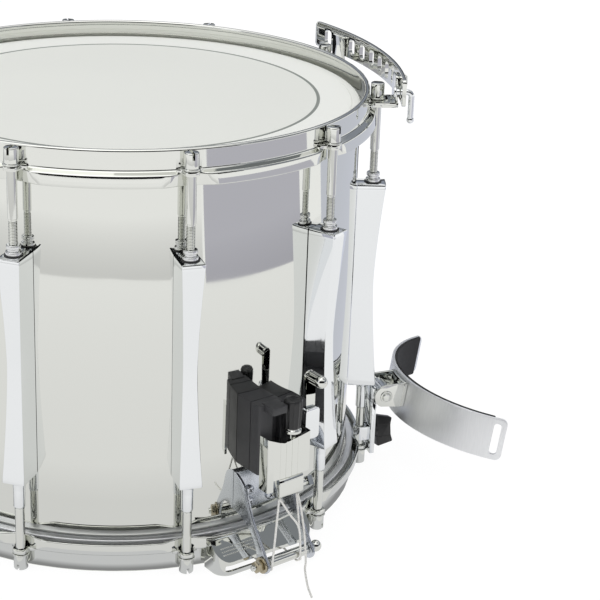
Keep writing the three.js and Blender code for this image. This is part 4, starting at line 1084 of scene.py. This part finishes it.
def bracket_shape():
    near, far = SHELL_R + 0.25, SHELL_R + 0.3 + ARM_SHEET
    wide = asin((ARM_HALF + ARM_SHEET) / far)
    left, right = pi / 2 + wide, pi / 2 - wide
    plate = slab(arc(far, left, right, 25) + arc(near, right, left, 25), 36.0, 67.0, 0.3, plan)
    arms = [slab(arm_outline(), x, x + ARM_SHEET, 0.45, side) for x in (-ARM_HALF - ARM_SHEET, ARM_HALF)]
    return joined(plate, *arms)


def screw_shape(x, z):
    """A pan-head screw that faces outwards."""
    far = SHELL_R + 2.5
    dome = rounded([
        (0, far - 1, 0), (3.7, far - 1, 0), (3.7, far + 1.4, 1.0), (2.2, far + 2.2, 1.4), (0, far + 2.4, 0),
    ], 5)
    return bar_out(dome, x, z, 36)


def cross_shape(x, z):
    """The painted shade of a screw's cross recess, as a dark cross just above its dome."""
    far = SHELL_R + 4.7
    bars = []
    for turn in (0.6, 0.6 + pi / 2):
        c, s = cos(turn), sin(turn)
        outline = [(x + c * u - s * v, z + s * u + c * v) for u, v in oblong(-1.7, -0.35, 1.7, 0.35)]
        bars.append(prism(outline, far - 0.6, far + 0.25, front))
    return joined(*bars)


ROLLER_LINE = (ROLLER_DEPTH, ROLLER_Z)
roller_shape = joined(
    bar_along(disc(4.0, -18.7, 18.7, 0.6, 0.6), *ROLLER_LINE),
    bar_along(disc(2.2, -31.0, 28.0, 0.5, 0), *ROLLER_LINE, 24), bar_along(ball(4.4, 27.1), *ROLLER_LINE),
)
nut = rounded([(0, -28.4, 0), (3.8, -28.4, 0), (4.7, -27.6, 0), (4.7, -23.4, 0.2), (0, -23.2, 0)], 2)
washer = disc(6.2, -23.0, -21.6, 0.4, 0.4)
nut_shape = joined(bar_along(washer, *ROLLER_LINE), bar_along(nut, *ROLLER_LINE, 6, 0.3))
screw_places = [(x, z) for x in (-9.5, 9.5) for z in (41.0, 50.5)]
screws = joined(*[screw_shape(*at) for at in screw_places])
# The screws' recesses are painted shade: dark crosses of black plastic on their domes.
recess_shades = joined(*[cross_shape(*at) for at in screw_places])
for end, azimuth, bracket, roller in (
    ("strainer", STRAINER_AT, "strainer_bracket", "snare_roller"),
    ("butt", BUTT_AT, "butt_bracket", "butt_roller"),
):
    stand(build(f"{end}_arms", bracket_shape(), zinc, azimuth, 30), "zinc_steel", bracket)
    stand(build(f"{end}_screws", screws, zinc, azimuth), "zinc_steel", bracket)
    stand(build(f"{end}_screw_recesses", recess_shades, black_plastic, azimuth), "zinc_steel", bracket)
    stand(build(f"{end}_roller_set", roller_shape, chrome, azimuth), "chrome", roller)
    stand(build(f"{end}_nut", nut_shape, brassy, azimuth, 30), "zinc_steel", roller)

# %% [markdown]
# The strainer. A matt nylon housing stands on the shell. Its front groove guides the chrome block,
# which carries the tension knob. The hub on the right holds the throw-off lever behind a chrome cover.

# %% Strainer housing
HUB_X, HUB_Z = 25.2, 103.5


def at_strainer(name, shape, finish=chrome, smooth=38):
    return build(name, shape, finish, STRAINER_AT, smooth)


def shell_room():
    """A tool with the shell's room, so a piece that it cuts fits the shell."""
    return build("room", round_bar(SHELL_R + 0.3, 30, 160, ROUND), chrome, 0.0)


def box_tool(x0, x1, d0, d1, z0, z1):
    return at_strainer("tool", prism(oblong(x0, d0, x1, d1), z0, z1, plan))


case = slab(oblong(-19.4, 174, 1.5, 203, 0, 2.4, 5), 73.5, 127.5, 0.9, plan)
case = at_strainer("housing_case", case, housing_nylon)
combine(case, [
    box_tool(-8, -1, 198, 210, 60, 122.5), box_tool(-25, -18.9, 192.0, 192.7, 60, 140),
    box_tool(-25, 5, 192.0, 192.7, 127.1, 140), shell_room(),
], smooth=30)
plinth = at_strainer("housing_plinth", slab(oblong(-0.7, 174, 32, 200.2), 92, 116, 0.8, plan), housing_nylon)
combine(plinth, [shell_room()], smooth=30)
cap = slab(oblong(-15, 199, -2, 212.8, 0, 1.6, 5), 122.5, 128.3, 0.7, plan)
for part in (case, plinth, at_strainer("housing_cap", cap, housing_nylon, 32)):
    stand(part, "black_plastic", "strainer_housing")
hub_parts = joined(
    slab(oblong(19.4, 92, 32, 116, 3, 3, 5), 203.9, 206.5, 0.6, front),
    slab(oblong(19.4, 199, 21.1, 204.5), 92.4, 115.6, 0.2, plan),
    bar_out(disc(2.4, 199, 205.2), HUB_X, HUB_Z, 24),
)
stand(at_strainer("hub_cover", hub_parts, cast_chrome, 32), "chrome", "strainer_housing")

# %% Throw-off lever
GRIP_Z = 139.5
lever_outline = rounded([
    (29.1, 102, 3.8), (29.1, 143.4, 3.85), (21.3, 143.4, 3.85),
    (21.3, 102, 3.8), (21.3, 99.6, 3.85), (29.1, 99.6, 3.85),
], 8)
arm = at_strainer("lever_arm", slab(lever_outline, 200.75, 203.35, 0.6, front), smooth=34)
combine(arm, [at_strainer("eye", bar_out(disc(2.75, 199, 206), HUB_X, HUB_Z, 32))], smooth=34)
stand(arm, "chrome", "throw_off_lever", body="lever")


def ribbed(count, steps, high, low):
    """The (cosine, sine) places of a ring with square ribs, one rib in every count steps."""
    radii = [high if k % count < count / 2 else low for k in range(steps)]
    return [(r * cos(a), r * sin(a)) for r, a in zip(radii, even(steps))]


grip_ring = ribbed(4, 64, 4.3, 3.75)
grip = loft([[front(HUB_X + c, GRIP_Z + s, depth) for c, s in grip_ring] for depth in (202.6, 214.0)])
lever_grip = joined(grip, bar_out(ball(4.6, 214.6), HUB_X, GRIP_Z))
stand(at_strainer("lever_grip", lever_grip, smooth=34), "chrome", "throw_off_lever", body="lever")

# %% Sliding block, knob and cord clamp
# The block is one bent and polished part: a U-shaped wall round a pan, with a V-shaped dip in the
# front edge of the pan. Its legs straddle the clamp that holds the cords, and its face has flutes.
BLOCK_BACK = 203.35
BLOCK_WALL = 2.3
FLUTE_R, FLUTE_DEPTH = 1.3, 215.0
KNOB_LINE = (5.6, SHELL_R + 30.8)
RIBS = 12
CLAMP_LINE = (208.8, 61)


def block_outline(inward, back):
    half = 18.8 - inward
    face = 213.3 - inward
    sweep = [1 - 2 * k / 16 for k in range(17)]
    bow = [(half * s, face + 0.8 * (1 - s ** 2), 2.2 if abs(s) == 1 else 0) for s in sweep]
    return rounded([(-half, back, 0), (half, back, 0)] + bow, 5)


def block_part(inward, back, low, high, edge=0.5):
    return at_strainer("block", slab(block_outline(inward, back), low, high, edge, plan))


block = block_part(0.0, BLOCK_BACK, 63.6, 106.5)
flute = round_bar(FLUTE_R, 60, 112, 24)
combine(block, [
    at_strainer("flute", moved(flute, x=x, depth=FLUTE_DEPTH)) for x in (-13.0, -7.8, -2.6, 2.6, 7.8, 13.0)
], smooth=32)
dip = [(-24.0, 112), (-18.8, 105.5), (-9.0, 101.2), (-5.0, 100.0), (-1.0, 100.5), (18.8, 103.4), (24.0, 112)]
combine(block, [
    block_part(BLOCK_WALL, 199.0, 99.0, 112, 0.1), at_strainer("dip", prism(dip, 198.0, 220.0, front)),
    box_tool(-13.8, 24, 199, 220, 60, 72.5),
])
combine(block, [block_part(BLOCK_WALL, 199.0, 60.0, 96.7, 0.1)], smooth=32)
stand(block, "chrome", "strainer_block", body="slide")
low_plate = slab(block_outline(1.0, 203.4), 72.6, 74.8, 0.4, plan)
tongue = slab(oblong(-7.7, 198.4, -1.3, 205.6), 75.0, 98.8, 0.4, plan)
stand(at_strainer("block_inner", joined(low_plate, tongue)), "chrome", "strainer_block", body="slide")


def knob_ribs():
    """The knob's ribbed grip: twelve flutes that run out into a domed end."""
    rows = []
    for z, radius in (
        (107.6, 5.4), (108.0, 5.8), (112, 6.1), (120, 6.6),
        (126, 6.8), (128.6, 6.7), (129.6, 6.1), (130, 5.2),
    ):
        deep = 0.55 if 110 < z < 128 else 0.2
        radii = [radius - deep * (1 - max(0.0, cos(RIBS * a)) ** 0.6) for a in even(96)]
        rows.append([(r * cos(a), r * sin(a), z) for r, a in zip(radii, even(96))])
    return moved(loft(rows), *KNOB_LINE)


recess = rounded([
    (0, 129.4, 0), (3.4, 129.4, 0), (3.4, 130.25, 0.3), (2.6, 130.25, 0.3), (2.4, 129.8, 0), (0, 129.8, 0),
])
knob = joined(knob_ribs(), turned(recess, 40, *KNOB_LINE))
stand(at_strainer("knob_grip", knob, black_plastic), "black_plastic", "tension_knob", body="knob")
collar = rounded([
    (0, 103.6, 0), (4.8, 103.6, 0.3), (6.4, 104.6, 0.4), (6.4, 106.4, 0.5), (5.3, 107.2, 0.3),
    (5.1, 108.4, 0), (0, 108.4, 0),
])
spindle = turned(disc(2.4, 72.8, 104), 24, *KNOB_LINE)
collar = at_strainer("knob_collar", joined(turned(collar, 48, *KNOB_LINE), spindle))
stand(collar, "chrome", "tension_knob", body="knob")

clamp_outline = rounded([(204.8, 56, 0.8), (214, 56, 3.0), (214, 72.2, 6.4), (204.8, 72.2, 0.5)], 8)
clamp_head = [(0, 19.0), (4.6, 19.0), (4.9, 19.6), (4.9, 23.4), (4.5, 24.0), (0, 24.0)]
clamp_shape = joined(
    slab(clamp_outline, -8, 13.5, 0.5, side), bar_along(disc(2.6, 13.2, 19.1), *CLAMP_LINE, 28),
    bar_along(clamp_head, *CLAMP_LINE, 4, 0.25),
)
stand(at_strainer("clamp_bar", clamp_shape, smooth=34), "chrome", "cord_clamp", body="slide")

# %% Butt clamp
butt_block = slab(oblong(-17, 174, 17, 194.8, 0, 3, 5), 69, 94, 0.8, plan)
butt_block = build("butt_block", butt_block, cast_chrome, BUTT_AT)
stand(combine(butt_block, [shell_room()], smooth=34), "chrome", "butt_clamp")
lip_screws = [turned(disc(4.2, 93.5, 93.9, 0, 0.2), 32, x, 208) for x in (-7, 7)]
lip = joined(slab(oblong(-14, 190, 14, 223.8, 0, 3, 5), 82, 93.9, 0.8, plan), *lip_screws)
stand(build("butt_lip", lip, cast_chrome, BUTT_AT, 34), "chrome", "butt_clamp")

# %% [markdown]
# Snares: twelve coiled wires of 0.44 mm steel, wound to 1.2 mm across and drawn with a pitch of about
# 3 mm, between two end plates, close under the clear head. One coil is drawn and the Geometry Nodes
# tree repeats it, 3 mm apart.

# %% Snares
SNARE_END = SHELL_R - 14.8
SNARE_Z = 10.6
WIRES = 12
WIRE_GAP = 3.0
COIL_R, WIRE_R, COIL_PITCH = 0.38, 0.22, 3.0
COIL_END = SNARE_END - 8
PLATE_LONG = 9


def coil_shape():
    """One coiled wire along the depth, as a tube with three sides."""
    steps = int(2 * COIL_END / COIL_PITCH) * 6
    ahead = Vector((0, 1, 0))
    rows = []
    for k in range(steps + 1):
        angle = 2 * pi * k / 6
        outward = Vector((cos(angle), 0, sin(angle)))
        middle = Vector((0, -COIL_END + 2 * COIL_END * k / steps, SNARE_Z)) + COIL_R * outward
        rows.append([middle + WIRE_R * (cos(a) * outward + sin(a) * ahead) for a in (0.0, 2.1, 4.2)])
    return loft(rows)


coil = build("coil", moved(coil_shape(), x=-WIRE_GAP * (WIRES - 1) / 2), snare_steel)
across = Matrix.Rotation(STRAINER_AT, 3, "Z") @ Vector((WIRE_GAP * MM, 0, 0))
stand(copies("snare_coils", coil, WIRES, STRAINER_AT, 0.0, tuple(across)), "wire_steel", "snare_wires")
plates = joined(*[
    slab(oblong(-19, start, 19, start + PLATE_LONG, 1.5), 9.6, 11.2, 0.3, plan)
    for start in (-SNARE_END, SNARE_END - PLATE_LONG)
])
stand(at_strainer("snare_plates", plates, snare_steel), "wire_steel", "snare_wires")

# %% [markdown]
# Cords. Two strands of braided cord leave the snares' plate through the gate's slot, pass under the
# roller and rise to the clamp. A third, short strand is tied to the right one with a knot. The
# cord's free end hangs from the clamp to the floor. At the butt end one cord makes a loop. Each is a
# tube along its route.

# %% Cords
CORD_R = 0.8
LOZENGE = 0.9


def tube(route, radius, sides=10):
    """A tube along a list of points with u along it and v round it, in units of one braid lozenge."""
    route = [Vector(p) for p in route]
    rows, places = [], []
    across = None
    travelled = 0.0
    for i, here in enumerate(route):
        ahead = (route[min(i + 1, len(route) - 1)] - route[max(i - 1, 0)]).normalized()
        across = across or ahead.orthogonal().normalized()
        across = (across - ahead * across.dot(ahead)).normalized()
        above = ahead.cross(across)
        travelled += (here - route[i - 1]).length if i else 0.0
        rows.append([here + radius * (cos(a) * across + sin(a) * above) for a in even(sides)])
        places += [(travelled / LOZENGE, k * 6 / sides) for k in range(sides)]
    return loft(rows), places, travelled


def lay_cord(name, knots, azimuth):
    """Builds a cord through (x, depth, z) points. Returns it with its route and length in metres."""
    route = curve([plan(*knot) for knot in knots], 10)
    shape, places, length = tube(route, CORD_R)
    obj = build(name, shape, cord_finish, azimuth, 180)
    layer = obj.data.uv_layers.new(name="UVMap")
    for loop in obj.data.loops:
        layer.data[loop.index].uv = places[loop.vertex_index]
    print(f"{name}: {length:.1f} mm long")
    return obj, [tuple(turned_to(azimuth) @ (Vector(p) * MM)) for p in route], length * MM


def under(x):
    """The way from the snares' plate through the slot and round under the roller."""
    return [
        (x, 163.3, 10.4), (x, 184.0, 8.0), (x, 203.0, 4.8), (x, 213.8, 2.6),
        (x, 216.5, 3.32), (x, 218.48, 5.3), (x, 219.2, 8.0),
    ]


KNOT = (7.1, 218.4, 30.6)
LEFT_END = (-6.0, 211.0, 55.7)
RIGHT_END = (9.5, 211.0, 55.7)
TAIL = [
    (9.8, 212.0, 55.7), (10.8, 214.6, 46.0), (11.4, 219.0, 28.0), (11.8, 221.3, 10.0), (10.5, 223.5, 3.0),
    (6.8, 227.5, 1.1), (-5.6, 246.1, 1.1), (-12.7, 259.4, 1.1),
]
cords = {}
for name, node, knots in (
    ("left_strand", "snare_cord", under(-17.0) + [(-11.8, 215.6, 31.0), LEFT_END]),
    ("right_strand", "snare_cord", under(8.8) + [KNOT, (0.6, 215.0, 43.0), LEFT_END]),
    ("third_strand", "snare_cord", [KNOT, (8.3, 215.2, 43.0), RIGHT_END]),
    ("cord_tail", "snare_cord_tail", TAIL),
):
    cords[name] = lay_cord(name, knots, STRAINER_AT)
    obj = cords[name][0]
    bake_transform(obj)
    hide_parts(node)

rise = under(11.0) + [(11.0, 219.2, 45.0)]
crown = [(8.5, 219.2, 66.0), (5.5, 219.2, 76.5)]
way_down = [(-x, depth, z) for x, depth, z in reversed(rise + crown)]
cords["butt_loop"] = lay_cord("butt_loop", rise + crown + [(0.0, 219.2, 80.2)] + way_down, BUTT_AT)
butt_cord = cords["butt_loop"][0]
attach(butt_cord, "drum")
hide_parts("butt_cord")

for name, far_end, lay, with_pieces in (
    ("left_strand", "object", "taut", ()),
    ("right_strand", "object", "taut", (cords["third_strand"][0],)),
    ("cord_tail", "bare", "hanging", ()),
    ("butt_loop", "object", "taut", ()),
):
    obj, path, length = cords[name]

# %% [markdown]
# The knee rest is clamped to the lower rod of the third lug. It is drawn in that rod's own frame,
# turned to the way the drum is carried. The band and its foam leave the hinge tilted by 8.3 degrees.
# The band is made flat, with its slot cut, and is then bent to its radius, as in the factory.

# %% Knee rest
KNEE_X = -ROD_CIRCLE * sin(LUG_PITCH / 2)
KNEE_DEPTH = ROD_CIRCLE * cos(LUG_PITCH / 2)
HINGE = (15.6, 62.0)
BAND_CENTRE = 120.2
BAND_R = 96.8
BAND_START, BAND_END = -108.0, 107.0
NUT_Z = 26.6
WING_TURN = Matrix.Rotation(radians(12), 3, "Y")


def knee_build(name, shape, finish, tilted=False, smooth=38):
    """Builds a shape given in the knee rod's frame, or in the band's tilted frame."""
    turn = Matrix.Rotation(BAND_LEAN, 3, "X") if tilted else None
    return build(name, moved(shape, x=KNEE_X, depth=KNEE_DEPTH, turn=turn), finish, CARRY_AT, smooth)


plate = slab(rounded([(5.9, 10.5, 0.6), (9.9, 10.5, 0.6), (9.9, 60, 0.4), (5.9, 60, 0.6)]), -9, 9, 0.6, side)
eye = rounded([(3.8, 21, 0.4), (5.4, 21, 0.5), (5.4, 33, 0.5), (3.8, 33, 0.4)])
webs = [slab(oblong(0.6, 21.4, 7, 32.6), x, x + 1.35, 0.1, side) for x in (4.0, -5.35)]
barrel_ring = ribbed(8, 96, 7.0, 6.35)
barrel = loft([[side(HINGE[0] + c, HINGE[1] + s, x) for c, s in barrel_ring] for x in (-11.3, 11.3)])
neck = rounded([(5.9, 54.5, 0), (13.0, 56.0, 0), (13.0, 66.0, 0), (8.5, 68.5, 1.5), (5.9, 68.0, 0.6)])
nut_plate = slab(oblong(-6.4, 20.4, 6.4, 32.8, 1), 9.6, 10.6, 0.3, front)
clamp_body = joined(plate, lathe(eye, even(48)), *webs, barrel, slab(neck, -9, 9, 0.6, side), nut_plate)
stand(knee_build("knee_clamp_body", clamp_body, cast_chrome, smooth=32), "chrome", "knee_clamp")

wing_outline = rounded([
    (13.3, -13.0, 1.5), (27.0, -9.8, 1.2), (25.6, -4.5, 4.0),
    (25.6, 4.5, 4.0), (27.0, 9.8, 1.2), (13.3, 13.0, 1.5),
], 6)
wing_neck = rounded([(0, 10.8, 0), (5.2, 10.8, 0.4), (5.2, 14.0, 0), (0, 14.0, 0)])
rib_lines = [slab(oblong(14.2, z - 0.35, 25.4, z + 0.35), -4.4, 4.4, 0.1, side) for z in (-5.0, 5.0)]
wing = joined(slab(wing_outline, -4.2, 4.2, 1.0, side), bar_out(wing_neck, 0, 0, 32), *rib_lines)
wing = knee_build("wing_screw", moved(wing, z=NUT_Z, turn=WING_TURN), black_plastic, smooth=34)
stand(wing, "black_plastic", "knee_wing_screw", body="knee_screw")


def flat_bar(name, finish, heights, ends, depths, corner, edge):
    """A flat bar along x with rounded corners and edges, to be bent later. Depth is its thickness."""
    low, high = heights
    start, end = ends
    ramp = [corner * (1 - cos(a)) for a in np.linspace(0.12, pi / 2, 8)][:-1]
    stations = [start + r for r in ramp] + list(np.linspace(start + corner, end - corner, 110))
    rows = []
    for s in stations + [end - r for r in reversed(ramp)]:
        away = min(s - start, end - s, corner)
        lift = corner - sqrt(max(0.0, corner * corner - (corner - away) ** 2))
        outline = oblong(depths[0], low + lift, depths[1], high - lift, edge)
        rows.append([side(u, v, s) for u, v in outline])
    return build(name, loft(rows), finish)


def bend(obj, radius, centre, outward, place):
    """Bends a flat bar round an upright line at a depth: outward is 1 where the line lies behind it."""
    for vertex in obj.data.vertices:
        x, y, z = vertex.co / MM
        angle = x / radius
        reach = outward * (-centre - y)
        vertex.co = Vector((reach * sin(angle), -centre - outward * reach * cos(angle), z)) * MM
    obj.data.transform(place)
    soften(obj, 38)
    return obj


# In the flat strip, depth 23.4 is the middle of the metal, which is 96.8 mm from the band's centre.
band_place = (
    turned_to(CARRY_AT) @ Matrix.Translation(Vector((KNEE_X, -KNEE_DEPTH, 0)) * MM)
    @ Matrix.Rotation(BAND_LEAN, 4, "X")
)
band_ends = (BAND_START, BAND_END)
strip = flat_bar("knee_band_strip", band_aluminium, (43.8, 78.3), band_ends, (22.2, 24.6), 5.0, 0.7)
slot_outline = oblong(BAND_START + 4.2, 48.3, BAND_START + 10.0, 73.8, 2.4, 2.4, 6)
combine(strip, [build("slot", prism(slot_outline, 15.0, 30.0, front), chrome)])
stand(bend(strip, BAND_R, BAND_CENTRE, -1, band_place), "aluminium", "knee_band", body="knee_rest")
pad_ends = (BAND_START + 10.6, BAND_END - 5.5)
pad = flat_bar("knee_foam", foam, (44.1, 78.6), pad_ends, (24.7, 26.9), 1.0, 0.9)
stand(bend(pad, BAND_R, BAND_CENTRE, -1, band_place), "foam", "knee_pad", body="knee_rest")

CHEEK_SHEET, CHEEK_R = 2.4, 9.4
MEET = 98.3
OUTER = 14.0
BASE_LOW, BASE_HIGH = 55.5, 76.0
hinge_depth = HINGE[0] * cos(BAND_LEAN) - HINGE[1] * sin(BAND_LEAN)
hinge_z = HINGE[1] * cos(BAND_LEAN) + HINGE[0] * sin(BAND_LEAN)
meet_depth = BAND_CENTRE - sqrt(MEET ** 2 - OUTER ** 2)
cheek = arc(CHEEK_R, pi / 2 + 0.05, pi * 1.5 - 0.3, 24, hinge_depth, hinge_z)
cheek += [(meet_depth, BASE_LOW), (meet_depth, BASE_HIGH)]
cheeks = [slab(cheek, x, x + CHEEK_SHEET, 0.5, side) for x in (11.6, -14.0)]
wide = asin(OUTER / MEET)
left, right = -pi / 2 - wide, -pi / 2 + wide
base = arc(MEET, left, right, 15, v=BAND_CENTRE) + arc(MEET + CHEEK_SHEET, right, left, 15, v=BAND_CENTRE)
rivet = rounded([
    (0, 13.8, 0), (5.0, 13.8, 0.2), (5.0, 14.8, 0.5), (3.9, 15.0, 0.3), (3.6, 14.7, 0.2), (3.2, 16.0, 0.8),
    (0, 16.6, 0),
], 4)
rivets = [bar_along([(r, x * way) for r, x in rivet], hinge_depth, hinge_z) for way in (1, -1)]
pin = bar_along(disc(2.6, -14, 14), hinge_depth, hinge_z, 28)
bracket = joined(*cheeks, slab(base, BASE_LOW, BASE_HIGH, 0.5, plan), *rivets, pin)
bracket = knee_build("hinge_cheeks", bracket, chrome, True, 32)
stand(bracket, "chrome", "knee_hinge_bracket", body="knee_rest")

# %% [markdown]
# The carrying rail is a flat bar bent to a wide curve, with ten slots and rolled edges. Like the knee
# band it is made flat, slotted, and then bent. The sling's hook hangs in its first slot: a round bar
# with a head behind the rail, a bend, a leg and a ball at its tip.

# %% Carrying rail and sling hook
RAIL_SET_BACK = 90.0
RAIL_R = 293.0
RAIL_HALF = 97.5
RAIL_SLOTS = 10
SLOT_STEP = 17.88
SLOT_HALF = 4.5
HOOK_ANGLE = -(RAIL_SLOTS - 1) / 2 * SLOT_STEP / RAIL_R
HOOK_R = 2.2
HOOK_LEVEL = 313.05
HOOK_OUT = 300.0
HOOK_BEND = 3.6
HOOK_LOW = 292.0

rail = flat_bar("rail_bar", chrome, (306.0, 326.0), (-RAIL_HALF, RAIL_HALF), (201.5, 204.5), 2.5, 0.6)
middles = [(i - (RAIL_SLOTS - 1) / 2) * SLOT_STEP for i in range(RAIL_SLOTS)]
slot_outlines = [oblong(x - SLOT_HALF, 310, x + SLOT_HALF, 322, 3, 3, 6) for x in middles]
combine(rail, [build("cut", prism(outline, 195.0, 210.0, front), chrome) for outline in slot_outlines])
stand(bend(rail, RAIL_R, -RAIL_SET_BACK, 1, turned_to(CARRY_AT)), "chrome", "carry_rail")

elbow = arc(HOOK_BEND, pi / 2, 0, 12, HOOK_OUT - HOOK_BEND, HOOK_LEVEL - HOOK_BEND)
hook_line = [(287.5, HOOK_LEVEL), (294.0, HOOK_LEVEL)] + elbow + [(HOOK_OUT, 302.0), (HOOK_OUT, HOOK_LOW)]
hook_bar = tube([plan(0, reach, z) for reach, z in hook_line], HOOK_R, 28)[0]
hook_ball = turned(ball(2.8, HOOK_LOW, 17), 28, 0.0, HOOK_OUT)
hook = joined(hook_bar, bar_out(disc(3.8, 286.5, 288.5, 0.6, 0.6), 0, HOOK_LEVEL, 36), hook_ball)
hook = moved(hook, depth=-RAIL_SET_BACK, turn=Matrix.Rotation(HOOK_ANGLE, 3, "Z"))
stand(build("hook_bar", hook, cast_chrome, CARRY_AT, 34), "chrome", "sling_hook", body="hook")
